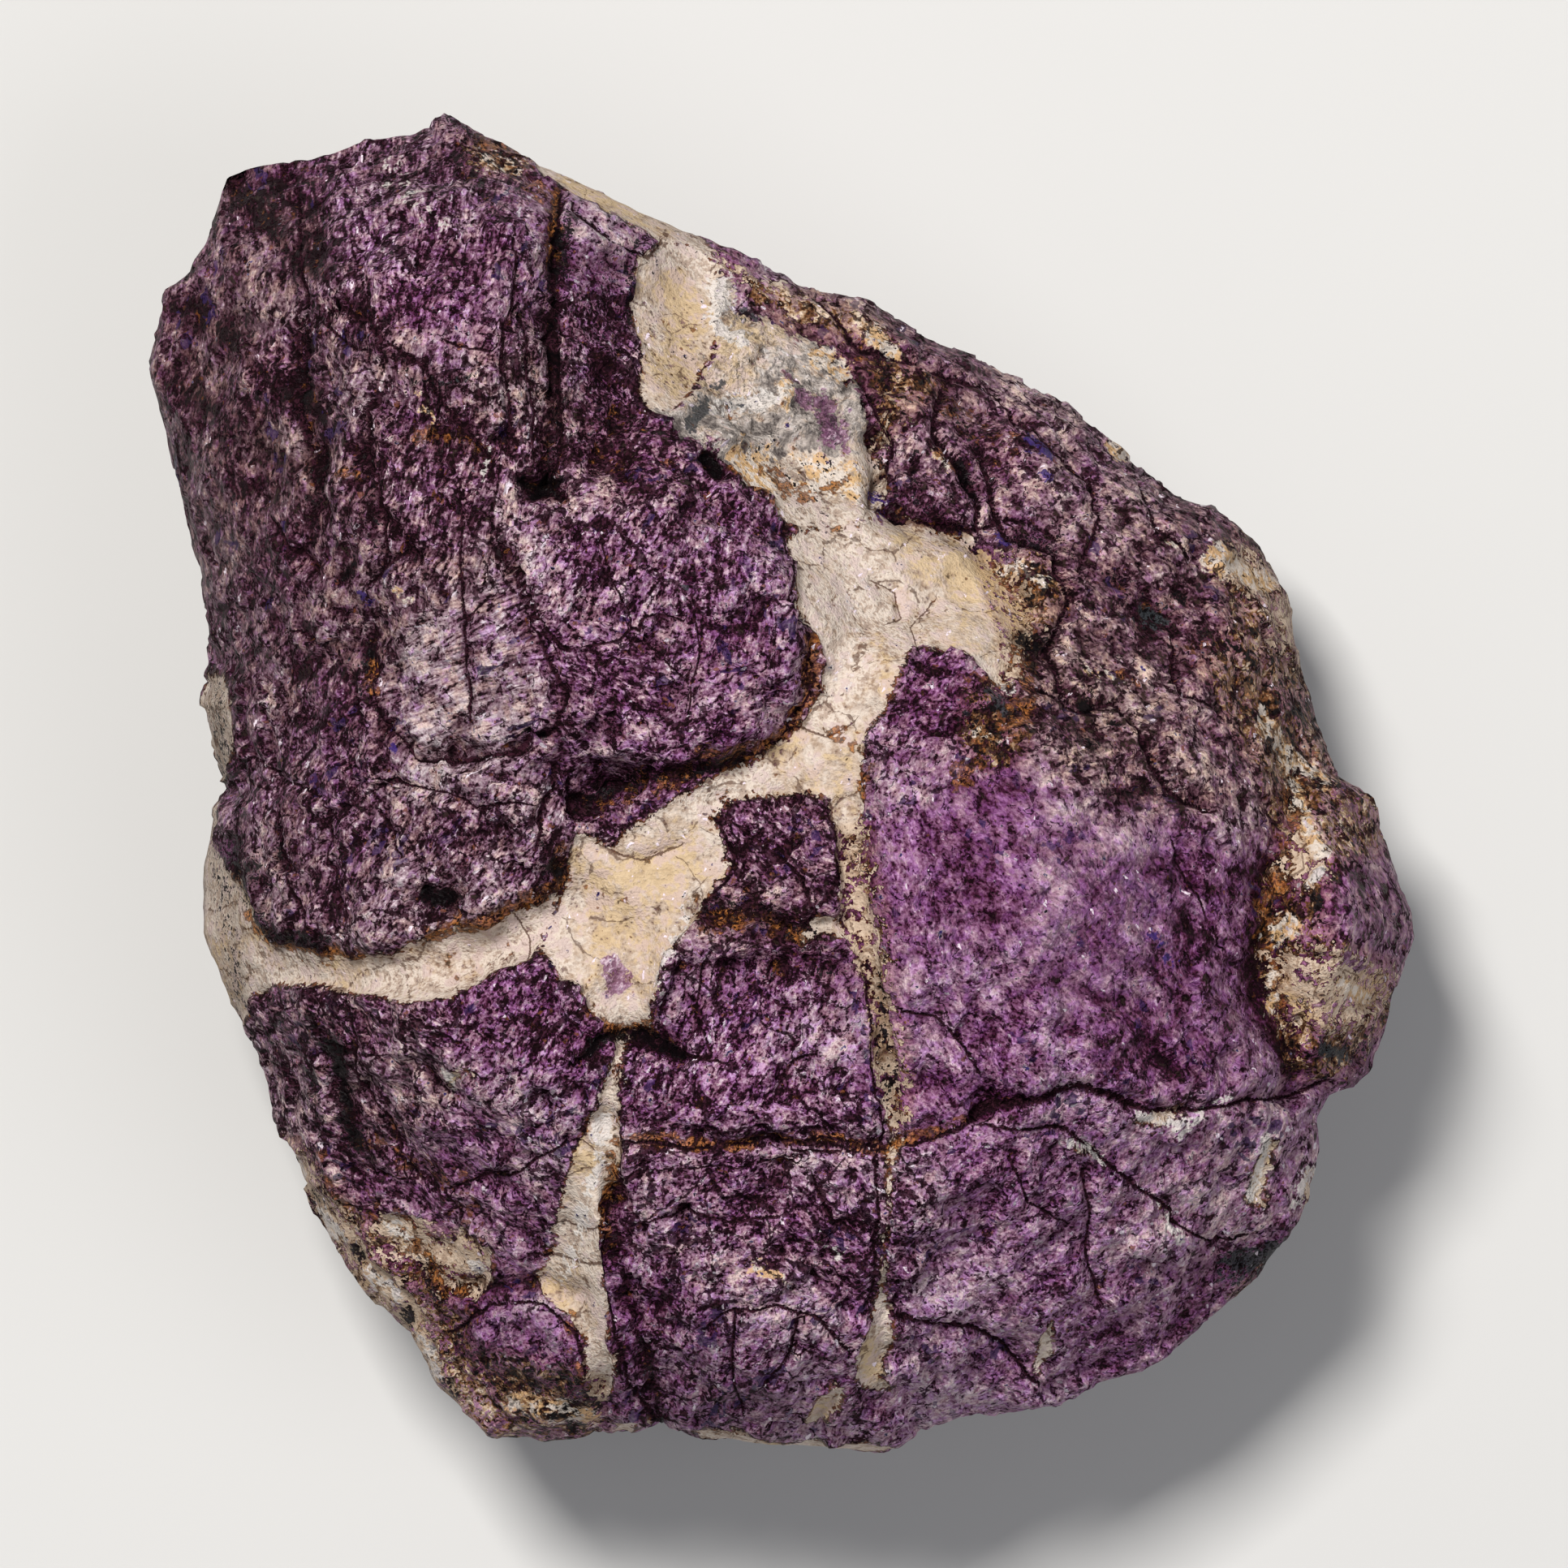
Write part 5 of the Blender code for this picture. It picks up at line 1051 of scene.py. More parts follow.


# these hollows are where the material paints shade
def hollows(points, outward):
    # how far a point lies below its surroundings, at two reaches: heights in front, movement on the sides
    cells = stoneForm["frontCells"]
    front = points[:(cells + 1) ** 2, 2].reshape(cells + 1, cells + 1)
    sides = outward[(cells + 1) ** 2:-1].reshape(-1, 4 * cells)
    steps = np.minimum(np.arange(cells + 1), np.arange(cells, -1, -1))
    inward = np.minimum(steps[:, None], steps[None, :])
    found = []
    for passes in surfaceRelief["hollowPasses"]:
        frontHollow = (blurred(front, passes, False) - front) * ease(inward, 0.0, 2.0 * math.sqrt(passes))
        sideHollow = blurred(sides, passes, True) - sides
        found.append(np.concatenate([frontHollow.ravel(), sideHollow.ravel(), [0.0]]))
    return found


def meshPiece(name, points, quads, triangles, pointFields, cornerFields):
    # one smooth-shaded mesh from arrays, with its vectors kept as attributes of points and of face corners
    mesh = bpy.data.meshes.new(name)
    corners = np.concatenate([quads.ravel(), triangles.ravel()]).astype(np.int32)
    sizes = np.concatenate([np.full(len(quads), 4), np.full(len(triangles), 3)])
    mesh.vertices.add(len(points))
    mesh.vertices.foreach_set("co", (points * mm).astype(np.float32).ravel())
    mesh.loops.add(len(corners))
    mesh.loops.foreach_set("vertex_index", corners)
    mesh.polygons.add(len(sizes))
    mesh.polygons.foreach_set("loop_start", (np.cumsum(sizes) - sizes).astype(np.int32))
    mesh.update(calc_edges=True)
    mesh.validate()
    for domain, fields in (("POINT", pointFields), ("CORNER", cornerFields)):
        for key, value in fields.items():
            layer = mesh.attributes.new(key, "FLOAT_VECTOR", domain)
            layer.data.foreach_set("vector", value.astype(np.float32).ravel())
    mesh.shade_smooth()
    piece = bpy.data.objects.new(name, mesh)
    bpy.context.scene.collection.objects.link(piece)
    return piece


def makeStone():
    # the net at its real size, moved out along its normals by the fine relief and kept on the ground
    points, mapped, quads, fan = stoneNet()
    points = fitToSize(points)
    fields = drawnFields(mapped)
    outward = fineRelief(points, fields, fibreMap(mapped, fields["home"]))
    normals = pointNormals(points, quads, fan)
    sideShare = surfaceRelief["sideShare"]
    outward *= sideShare + (1.0 - sideShare) * np.clip(normals[:, 2], 0.0, 1.0)
    moved = points + normals * outward[:, None]
    moved[:, 2] = np.maximum(moved[:, 2], 0.0)
    onGround = points[:, 2] <= surfaceRelief["groundLevel"]
    moved[onGround, 2] = 0.0
    fields["hollowNear"], fields["hollowFar"] = hollows(moved, outward)
    kept = {key: np.stack([fields[name] for name in names], axis=1) for key, names in meshFields.items()}
    kept["map"] = fields["map"]
    corners = np.concatenate([quads.ravel(), fan.ravel()])
    homes = np.concatenate([np.repeat(fields["home"][faces[:, 0]], faces.shape[1]) for faces in (quads, fan)])
    grain = fibreMap(mapped[corners], homes)
    piece = meshPiece("purpurite_surface", moved, quads, fan, kept, {"grain": grain})
    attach(piece, "root")
    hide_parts("purpurite_stone")
    print("stone surface made,", 2 * len(quads) + len(fan), "triangles")
    return piece


stone = makeStone()


# Material building
class Weave:
    # one material's node tree, with short calls for its nodes; the values that its parts share are kept on it
    def __init__(self, name):
        self.material = bpy.data.materials.new(name)
        self.material.use_nodes = True
        self.nodes = self.material.node_tree.nodes
        self.links = self.material.node_tree.links
        self.shader = self.nodes["Principled BSDF"]

    def put(self, socket, value):
        # a link from another node's output, or a plain value
        if hasattr(value, "node"):
            self.links.new(value, socket)
        elif value is not None:
            socket.default_value = value

    def node(self, kind, inputs=(), **settings):
        # a node with its settings and its inputs by name or place
        made = self.nodes.new(kind)
        for key, value in settings.items():
            setattr(made, key, value)
        for key, value in dict(inputs).items():
            self.put(made.inputs[key], value)
        return made

    def math(self, operation, first, second=None, third=None, clamp=False):
        made = self.node("ShaderNodeMath", operation=operation, use_clamp=clamp)
        for socket, value in zip(made.inputs, (first, second, third)):
            self.put(socket, value)
        return made.outputs[0]

    def times(self, *factors):
        # the product of all factors
        return functools.reduce(lambda first, second: self.math("MULTIPLY", first, second), factors)

    def greatest(self, *values):
        return functools.reduce(lambda first, second: self.math("MAXIMUM", first, second), values)

    def plus(self, value, share, base, clamp=False):
        # base plus the value times its share
        return self.math("MULTIPLY_ADD", value, share, base, clamp)

    def weigh(self, base, **shares):
        # base, if there is one, plus each shared value times its share
        for name, share in shares.items():
            value = getattr(self, name)
            base = self.times(value, share) if base is None else self.plus(value, share, base)
        return base

    def mix(self, base, **shares):
        # base plus each shared value's distance from a half, times its share
        for name, share in shares.items():
            base = self.plus(self.math("SUBTRACT", getattr(self, name), 0.5), share, base)
        return base

    def field(self, name):
        # three numbers kept on the mesh
        return self.node("ShaderNodeAttribute", attribute_name=name).outputs["Vector"]

    def split(self, vector):
        return self.node("ShaderNodeSeparateXYZ", {0: vector}).outputs

    def join(self, first, second):
        return self.node("ShaderNodeCombineXYZ", {0: first, 1: second}).outputs[0]

    def vector(self, operation, first, second, output=0):
        return self.node("ShaderNodeVectorMath", {0: first, 1: second}, operation=operation).outputs[output]

    def stretch(self, where, scale):
        return self.vector("MULTIPLY", where, scale)

    def shift(self, where, amount):
        return self.vector("ADD", where, amount)

    def wandered(self, where, amount):
        # a place moved by the shared noises, so that straight cell borders waver
        return self.shift(where, self.stretch(self.wander, amount))

    def noise(self, where, scale, detail, rough, dimensions="3D"):
        inputs = {"Vector": where, "Scale": scale, "Detail": detail, "Roughness": rough}
        return self.node("ShaderNodeTexNoise", inputs, noise_dimensions=dimensions).outputs["Fac"]

    def cells(self, where, scale, feature):
        # flat Voronoi cells
        inputs = {"Vector": where, "Scale": scale}
        made = self.node("ShaderNodeTexVoronoi", inputs, feature=feature, voronoi_dimensions="2D")
        return made.outputs

    def seams(self, where, scale):
        # distance to the nearest border between flat Voronoi cells
        return self.cells(where, scale, "DISTANCE_TO_EDGE")["Distance"]

    def facets(self, where, scale):
        # each flat Voronoi cell is a plane tilted by its own random colour, which is given too
        scaled = self.stretch(where, scale)
        cell = self.cells(scaled, 1.0, "F1")
        away = self.vector("SUBTRACT", scaled, cell["Position"])
        tilt = self.shift(cell["Color"], (-0.5, -0.5, -0.5))
        return self.vector("DOT_PRODUCT", away, tilt, "Value"), self.split(cell["Color"])

    def step(self, value, low, high, before=0.0, after=1.0):
        # from one number to another, with a smooth turn while the value rises from low to high
        inputs = {"Value": value, "From Min": low, "From Max": high, "To Min": before, "To Max": after}
        return self.node("ShaderNodeMapRange", inputs, interpolation_type="SMOOTHSTEP").outputs["Result"]

    def mask(self, value, name):
        # a soft step named in stoneSteps
        return self.step(value, *stoneSteps[name])

    def ramp(self, value, stops):
        # the colour at a value, mixed straight between stops
        made = self.node("ShaderNodeValToRGB", {"Fac": value})
        elements = made.color_ramp.elements
        while len(elements) > 1:
            elements.remove(elements[-1])
        for place, colour in stops:
            element = elements[0] if place == stops[0][0] else elements.new(place)
            element.position = place
            element.color = (*colour, 1.0)
        return made.outputs["Color"]

    def blend(self, amount, first, second, mode="MIX"):
        # the first colour, with the second mixed in or multiplied on by the amount
        made = self.node("ShaderNodeMix", data_type="RGBA", blend_type=mode, clamp_factor=True)
        self.put(made.inputs["Factor"], amount)
        for socket, value in zip([s for s in made.inputs if s.type == "RGBA"], (first, second)):
            self.put(socket, (*value, 1.0) if isinstance(value, tuple) else value)
        return [s for s in made.outputs if s.type == "RGBA"][0]


# Colours, cell sizes and tilts in millimetres
stoneFinish = {
    # the pale tops of the violet and silvery ramps partly paint the silky sheen
    "violetRamp": [
        (0.00, (0.011, 0.0015, 0.005)), (0.20, (0.050, 0.0075, 0.028)), (0.45, (0.160, 0.058, 0.128)),
        (0.72, (0.306, 0.171, 0.264)), (1.00, (0.50, 0.385, 0.455))],
    "silverSheenRamp": [
        (0.00, (0.006, 0.0020, 0.003)), (0.20, (0.028, 0.0090, 0.013)), (0.45, (0.108, 0.061, 0.074)),
        (0.72, (0.280, 0.202, 0.228)), (1.00, (0.52, 0.44, 0.46))],
    "creamRamp": [
        (0.15, (0.22, 0.145, 0.105)), (0.40, (0.38, 0.290, 0.222)), (0.65, (0.48, 0.382, 0.305)),
        (0.90, (0.57, 0.490, 0.425))],
    "glassRamp": [
        (0.20, (0.090, 0.074, 0.070)), (0.38, (0.21, 0.180, 0.165)), (0.55, (0.38, 0.330, 0.300)),
        (0.78, (0.53, 0.49, 0.475))],
    "speckleRamp": [
        (0.14, (0.005, 0.003, 0.004)), (0.30, (0.040, 0.018, 0.010)), (0.42, (0.13, 0.055, 0.024)),
        (0.54, (0.26, 0.160, 0.095)), (0.68, (0.46, 0.350, 0.265)), (0.86, (0.62, 0.54, 0.48))],
    "yellow": (0.485, 0.358, 0.212), "white": (0.575, 0.502, 0.440), "pink": (0.43, 0.320, 0.310),
    "tan": (0.52, 0.330, 0.160), "frost": (0.56, 0.520, 0.490), "slate": (0.030, 0.034, 0.038),
    "orange": (0.34, 0.125, 0.030), "rust": (0.115, 0.036, 0.010), "brown": (0.030, 0.013, 0.006),
    "black": (0.007, 0.0025, 0.0035), "holeShade": (0.0025, 0.0015, 0.002), "blue": (0.022, 0.010, 0.062),
    "blueStone": (0.030, 0.012, 0.115), "murk": (0.032, 0.009, 0.016), "glintHighlight": (0.66, 0.56, 0.63),
    "plum": (0.115, 0.032, 0.090), "umber": (0.024, 0.014, 0.011), "hair": (0.075, 0.035, 0.022),
    "shade": (0.42, 0.40, 0.38), "dirt": (0.68, 0.60, 0.56), "rimTint": (0.93, 0.84, 0.73),
    "brownTint": (1.0, 0.97, 0.80), "warmTint": (1.04, 0.93, 0.83), "coolTint": (0.88, 0.68, 1.00),
    "edgeDark": (0.018, 0.008, 0.007), "edgeRust": (0.13, 0.045, 0.014),
    # offset, scale per millimetre, detail, roughness
    "noises": {
        "blotch": ((7.0, 3.0, 11.0), 0.95, 2.0, 0.66), "fleck": ((0.0, 0.0, 0.0), 2.7, 2.0, 0.70),
        "grit": ((0.0, 0.0, 0.0), 5.8, 1.0, 0.60), "smear": ((31.0, 17.0, 3.0), 1.5, 2.0, 0.66)},
    # how far the noises move each kind of cell, and its scale
    "grain": ((1.2, 1.2, 0.0), (0.85, 0.42, 1.0)), "crystal": ((0.35, 0.6, 0.0), (3.6, 1.5, 1.0)),
    "needle": ((0.2, 0.3, 0.0), (8.0, 2.6, 1.0)), "fineSeam": ((1.6, 2.0, 0.0), (0.95, 0.50, 1.0)),
    "wideSeam": ((0.9, 0.9, 0.0), 0.28), "strand": ((3.4, 0.75, 1.0), 1.0, 2.0, 0.66),
    "grainTurn": 0.5, "tilts": {"crystalPlane": 0.30, "grainPlane": 0.36, "needlePlane": 0.16, "dark": -0.10},
    "middleTone": 0.490, "hollowFloors": (-0.06, -0.3), "zoneFloor": -0.75, "zoneSwell": 0.60,
    "sunkMost": 0.055, "edgeOffset": 0.07, "stainEdge": (0.42, 0.62), "index": 1.5,
}

# where each soft step begins and ends on its level, then its values before and after
stoneSteps = {
    "patch contrast": (0.38, 0.62, 1.15, 0.80), "warm": (0.50, 0.62), "cool": (0.47, 0.58),
    "blue grain": (0.86, 0.90), "blue crystal": (0.78, 0.82, 0.0, 0.7), "umber": (0.305, 0.350, 0.85, 0.0),
    "wide seam": (0.028, 0.072, 0.90, 0.0), "fine seam": (0.008, 0.032, 0.85, 0.0),
    "crack width": (0.45, 1.05, 1.0, 0.0), "crack reach": (0.30, 0.45, 1.0, 0.0), "crack gaps": (0.51, 0.56),
    "beside crack": (0.05, 0.60, 1.0, 0.0), "beside seam": (0.0, 0.50, 0.8, 0.0),
    "pits": (0.362, 0.388, 0.90, 0.0), "dark crystals": (0.270, 0.285, 0.80, 0.0),
    "dirt": (0.36, 0.49, 0.85, 0.0), "dirty patches": (0.42, 0.54, 1.0, 0.15),
    "yellow": (0.545, 0.605, 0.0, 0.80), "white": (0.47, 0.54, 0.70, 0.0), "pink": (0.52, 0.60, 0.0, 0.60),
    "cream seam": (0.015, 0.045, 0.65, 0.0), "cream hairs": (0.003, 0.014, 0.45, 0.0),
    "hairy patches": (0.42, 0.48, 1.0, 0.0), "cream pits": (0.322, 0.350, 0.5, 0.0),
    "pitted blotches": (0.40, 0.48, 1.0, 0.2), "plum pits": (0.5, 0.55),
    "in zone": (-0.2, 0.3, 1.6, 0.0), "zone vein": (-0.2, 0.3, -0.40, -9.0),
    "zone tint": (-0.2, 0.3, 0.85, 0.0), "vein": (-0.025, 0.015, 1.0, 0.0),
    "vein edge": (0.05, 0.17, 1.0, 0.0), "edge gaps": (0.38, 0.50, 0.1, 0.95), "edge paint": (0.45, 0.6),
    "glass": (-0.10, 0.06, 1.0, 0.0), "glass cream": (0.46, 0.53, 0.0, 0.90),
    "zone": (-0.06, 0.04, 1.0, 0.0), "tan stain": (0.44, 0.56), "violet stain": (0.40, 0.60),
    "rust": (0.535, 0.575, 0.0, 0.82), "rust brown": (0.42, 0.55), "rust grit": (0.44, 0.56),
    "rust orange": (0.60, 0.67), "murk": (0.44, 0.62), "deep": (0.40, 0.70),
    "deep pits": (0.34, 0.42, 0.9, 0.3), "holeShade": (0.76, 0.96, 0.0, 0.96), "glint needles": (0.962, 0.972),
    "glint crystals": (0.62, 0.66), "glint tone": (0.40, 0.60),
}


def readFields(w):
    # the numbers kept on the mesh, by their names in meshFields
    for field, names in meshFields.items():
        for name, value in zip(names, w.split(w.field(field))):
            setattr(w, name, value)
    w.grain = w.field("grain")
    w.fibre = w.split(w.grain)[2]
    nearFloor, farFloor = stoneFinish["hollowFloors"]
    w.hollow = w.greatest(w.hollowNear, nearFloor)
    w.hollowWide = w.greatest(w.hollowFar, farFloor)


def shareNoises(w):
    # noises in millimetres, then crystals along the fibres, each a tilted face with random tones of its own
    finish = stoneFinish
    place = w.stretch(w.node("ShaderNodeTexCoord").outputs["Object"], (1.0 / mm,) * 3)
    for name, (offset, *noise) in finish["noises"].items():
        setattr(w, name, w.noise(w.shift(place, offset), *noise))
    w.wander = w.join(w.smear, w.blotch)
    wander, scale = finish["grain"]
    w.grainPlane, (w.grainTurn, w.grainTone, w.grainHue) = w.facets(w.wandered(w.grain, wander), scale)
    turn = w.mix(0.0, grainTurn=finish["grainTurn"])
    turned = w.node("ShaderNodeVectorRotate", {"Vector": w.grain, "Angle": turn}, rotation_type="Z_AXIS")
    turned = w.stretch(turned.outputs[0], w.join(1.0, w.weigh(1.75, fibre=-0.9)))
    wander, scale = finish["crystal"]
    w.crystalPlane, (w.crystalPick, w.crystalTone, w.crystalHue) = w.facets(w.wandered(turned, wander), scale)
    wander, scale = finish["needle"]
    w.needlePlane, (w.needlePick, w.needleTone, _) = w.facets(w.wandered(turned, wander), scale)
    scale, *noise = finish["strand"]
    w.strand = w.noise(w.stretch(turned, scale), *noise, "2D")


def setTone(w):
    # lightness: fine grains with a few much lighter and darker, over broad soft changes, with painted light
    # and shade added
    streaks = w.weigh(0.25, fibre=1.05)
    fine = w.mix(0.0, fleck=0.88, crystalTone=0.18, needleTone=0.28, strand=streaks, grit=0.8)
    w.square = w.times(fine, fine)
    fine = w.plus(w.square, -1.0, w.times(fine, w.weigh(0.90, square=2.2)))
    contrast = w.times(w.weigh(1.27, calm=-1.00), w.mask(w.patch, "patch contrast"))
    tone = w.plus(fine, contrast, stoneFinish["middleTone"])
    tone = w.mix(tone, smear=0.65, patch=0.95, blotch=w.weigh(0.85, mottle=0.9), grainTone=0.18)
    # each block's lightness: partly its own tone, partly painted light and shade
    tone = w.math("ADD", w.light, tone)
    # painted shade: darker in hollows, wide ones too, and along the dark-and-shade routes
    tone = w.plus(w.times(w.hollow, w.mix(1.0, fleck=4.0)), -1.0, tone)
    w.tone = w.plus(w.dusk, -0.22, w.weigh(tone, hollowWide=-0.10), clamp=True)
    w.violetTone = w.ramp(w.tone, stoneFinish["violetRamp"])


def purpleColour(w):
    # violet crystals and silvery ones, partly painted sheen, warm and cool patches, a few blue crystals,
    # umber on mottled stone
    finish = stoneFinish
    w.silvery = w.math("ADD", w.mix(w.silver, patch=1.3), w.mix(-0.03, blotch=1.1), clamp=True)
    purple = w.blend(w.silvery, w.violetTone, w.ramp(w.tone, finish["silverSheenRamp"]))
    warm = w.times(w.mask(w.blotch, "warm"), w.weigh(0.3, silvery=0.7))
    purple = w.blend(warm, purple, finish["warmTint"], "MULTIPLY")
    purple = w.blend(w.mask(w.weigh(w.smear, silvery=-0.10), "cool"), purple, finish["coolTint"], "MULTIPLY")
    blue = w.times(w.mask(w.grainHue, "blue grain"), w.mask(w.crystalPick, "blue crystal"))
    purple = w.blend(blue, purple, finish["blue"])
    level = w.weigh(None, smear=0.4, blotch=0.6, mottle=-0.105)
    purple = w.blend(w.mask(w.mix(level, fleck=0.34, grit=0.12), "umber"), purple, finish["umber"])
    return w.blend(w.times(w.mottle, w.weigh(0.3, silver=0.7)), purple, finish["brownTint"], "MULTIPLY")


def setCracks(w):
    # masks of the drawn cracks, the seams between crystals, black pits and dark crystals
    wander, scale = stoneFinish["wideSeam"]
    w.wideSeam = w.times(w.seams(w.wandered(w.field("map"), wander), scale), 1.0 / scale)
    wander, scale = stoneFinish["fineSeam"]
    w.fineSeam = w.seams(w.stretch(w.wandered(w.grain, wander), scale), 1.0)
    wide = w.mask(w.weigh(w.mix(w.wideSeam, blotch=0.6, grit=0.30, fleck=0.35), calm=0.40), "wide seam")
    fine = w.mix(w.fineSeam, blotch=0.40, grit=0.10, fleck=0.12)
    fine = w.mask(w.weigh(fine, calm=0.05, mottle=-0.050), "fine seam")
    ragged = w.math("ABSOLUTE", w.mix(w.crackLine, grit=2.2, fleck=1.6))
    w.crack = w.times(
        w.mask(ragged, "crack width"), w.mask(w.crackNear, "crack reach"),
        w.mask(w.weigh(w.blotch, crackBold=0.36), "crack gaps"))
    w.beside = w.greatest(
        w.mask(w.crackNear, "beside crack"), w.mask(w.weigh(w.wideSeam, calm=0.6), "beside seam"))
    pepper = w.weigh(None, blotch=0.20, fleck=0.30, grit=0.50)
    # more dark pits beside cracks and seams, and, as painted shade, in hollows and along the dark-and-shade
    # routes
    sunk = w.math("MINIMUM", w.weigh(None, beside=0.030, dusk=0.10, hollow=0.40), stoneFinish["sunkMost"])
    w.pepper = w.weigh(w.math("SUBTRACT", pepper, sunk), calm=0.080)
    crystals = w.mask(w.weigh(w.crystalPick, calm=0.10, blotch=0.6), "dark crystals")
    w.dark = w.greatest(w.mask(w.pepper, "pits"), crystals, wide, w.crack, fine)


def creamColour(w):
    # filling of the veins: broad white, yellow and pink patches, few dark threads and pits, and painted shade
    # in hollows
    finish = stoneFinish
    # painted shade: darker where the surface is sunk
    tone = w.plus(w.hollow, -0.6, w.mix(0.57, grit=0.50, blotch=1.5, fleck=0.75), clamp=True)
    cream = w.ramp(tone, finish["creamRamp"])
    w.amberLevel = w.weigh(None, blotch=0.20, smear=0.35, patch=0.45, amber=0.120)
    cream = w.blend(w.mask(w.amberLevel, "yellow"), cream, finish["yellow"])
    cream = w.blend(w.mask(w.amberLevel, "white"), cream, finish["white"])
    cream = w.blend(w.mask(w.mix(w.blotch, fleck=0.3), "pink"), cream, finish["pink"])
    dirt = w.times(w.mask(w.mix(w.blotch, grit=0.5, fleck=0.9), "dirt"), w.mask(w.patch, "dirty patches"))
    cream = w.blend(dirt, cream, finish["dirt"], "MULTIPLY")
    hairs = w.times(w.mask(w.weigh(w.fineSeam, rust=-0.04), "cream hairs"), w.mask(w.patch, "hairy patches"))
    seam = w.mask(w.mix(w.wideSeam, blotch=0.5, fleck=0.25), "cream seam")
    cream = w.blend(w.greatest(seam, hairs, w.weigh(None, crack=0.85)), cream, finish["hair"])
    w.creamPits = w.times(w.mask(w.pepper, "cream pits"), w.mask(w.blotch, "pitted blotches"))
    pitPaint = w.blend(w.mask(w.crystalTone, "plum pits"), finish["hair"], finish["plum"])
    return w.blend(w.creamPits, cream, pitPaint)


def setVeinEdge(w):
    # masks of the veins' ragged shape and of their dark edge, more broken up in the mottled zones
    inZone = w.mask(w.zone, "in zone")
    ragged = w.greatest(w.vein, w.mask(w.zone, "zone vein"))
    ragged = w.mix(ragged, fleck=0.85, blotch=w.math("ADD", inZone, 0.9))
    ragged = w.plus(w.mix(0.08, grit=0.9, fleck=1.8, smear=2.6), inZone, ragged)
    w.veinMask = w.mask(ragged, "vein")
    edge = w.math("ABSOLUTE", w.math("SUBTRACT", ragged, stoneFinish["edgeOffset"]))
    w.edgeLine = w.times(w.mask(edge, "vein edge"), w.mask(w.smear, "edge gaps"))


def layMinerals(w):
    # purple, the mottled rims' cream, rust and black grains, cream, and glassy grey with white clouds, then
    # painted shade on the pale parts
    finish = stoneFinish
    cream = creamColour(w)
    glassMask = w.mask(w.mix(w.quartzEdge, fleck=1.0, blotch=2.2), "glass")
    glassTone = w.mix(0.56, grit=0.4, fleck=0.7, patch=0.9, blotch=1.2)
    glass = w.blend(w.mask(w.amberLevel, "glass cream"), w.ramp(glassTone, finish["glassRamp"]), cream)
    zoneEdge = w.math("ADD", w.greatest(w.zone, finish["zoneFloor"]), finish["zoneSwell"])
    zoneMask = w.mask(w.mix(zoneEdge, grit=1.2, fleck=3.0, blotch=3.2), "zone")
    zoneTone = w.mix(0.43, fleck=1.1, crystalTone=0.35, patch=0.9, smear=1.6)
    edgePaint = w.blend(w.mask(w.fleck, "edge paint"), finish["edgeDark"], finish["edgeRust"])
    colour = w.blend(zoneMask, purpleColour(w), w.ramp(zoneTone, finish["speckleRamp"]))
    colour = w.blend(w.veinMask, colour, cream)
    colour = w.blend(w.edgeLine, colour, edgePaint)
    colour = w.blend(glassMask, colour, glass)
    colour = w.blend(w.mask(w.zone, "zone tint"), colour, finish["rimTint"], "MULTIPLY")
    w.pale = w.greatest(w.veinMask, glassMask)
    # painted shade: the pale veins and glass dimmed along the dark-and-shade routes
    return w.blend(w.times(w.dusk, w.pale, 0.75), colour, finish["shade"], "MULTIPLY")


def layStains(w, colour):
    # drawn stains, ragged by the shared noises; a few of the pale frost routes are painted highlights
    finish = stoneFinish
    tan = w.blend(w.mask(w.smear, "tan stain"), finish["white"], finish["tan"])
    violet = w.blend(w.mask(w.fleck, "violet stain"), finish["plum"], w.violetTone)
    for stain, strength, paint in (
            (w.tan, 0.85, tan), (w.violet, 0.85, violet), (w.frost, 0.80, finish["frost"]),
            (w.slate, 0.90, finish["slate"]), (w.blue, 0.92, finish["blueStone"])):
        level = w.mix(stain, blotch=1.5, fleck=1.5)
        colour = w.blend(w.step(level, *finish["stainEdge"], 0.0, strength), colour, paint)
    return colour


def layRust(w, colour):
    # rust, thicker where it is drawn, beside cracks and in hollows
    finish = stoneFinish
    level = w.weigh(None, crystalHue=0.10, smear=0.7, rust=0.25)
    sunk = w.math("MINIMUM", w.weigh(None, beside=0.025, hollow=0.18), finish["sunkMost"])
    level = w.weigh(w.math("ADD", sunk, level), mottle=0.03, calm=-0.04)
    paint = w.blend(w.mask(w.fleck, "rust brown"), finish["brown"], finish["rust"])
    orange = w.times(w.mask(w.grit, "rust grit"), w.mask(level, "rust orange"))
    paint = w.blend(orange, paint, finish["orange"])
    return w.blend(w.mask(w.weigh(level, pale=-0.03), "rust"), colour, paint)


def layDark(w, colour):
    # murky cracks and pits, and black painted shade where the surface is deepest in its hollows or along the
    # drawn dark-and-shade routes
    finish = stoneFinish
    paint = w.blend(w.mask(w.mix(w.grit, strand=0.7), "murk"), finish["black"], finish["murk"])
    colour = w.blend(w.times(w.dark, w.weigh(1.0, pale=-0.93)), colour, paint)
    # painted shade: black in the deepest hollows and in the strongest dark-and-shade routes
    deep = w.times(w.mask(w.hollow, "deep"), w.mask(w.pepper, "deep pits"), w.weigh(1.0, pale=-0.65))
    holeShade = w.mask(w.mix(w.dusk, blotch=1.4, grit=1.8, fleck=2.4), "holeShade")
    return w.blend(w.greatest(deep, holeShade), colour, finish["holeShade"])


def layGlints(w, colour):
    # painted highlights: tiny lilac-white glints on a few bright facets
    crystals = w.mask(w.weigh(w.crystalPick, calm=-0.25), "glint crystals")
    w.glint = w.times(w.mask(w.needlePick, "glint needles"), crystals, w.mask(w.tone, "glint tone"))
    return w.blend(w.glint, colour, stoneFinish["glintHighlight"])


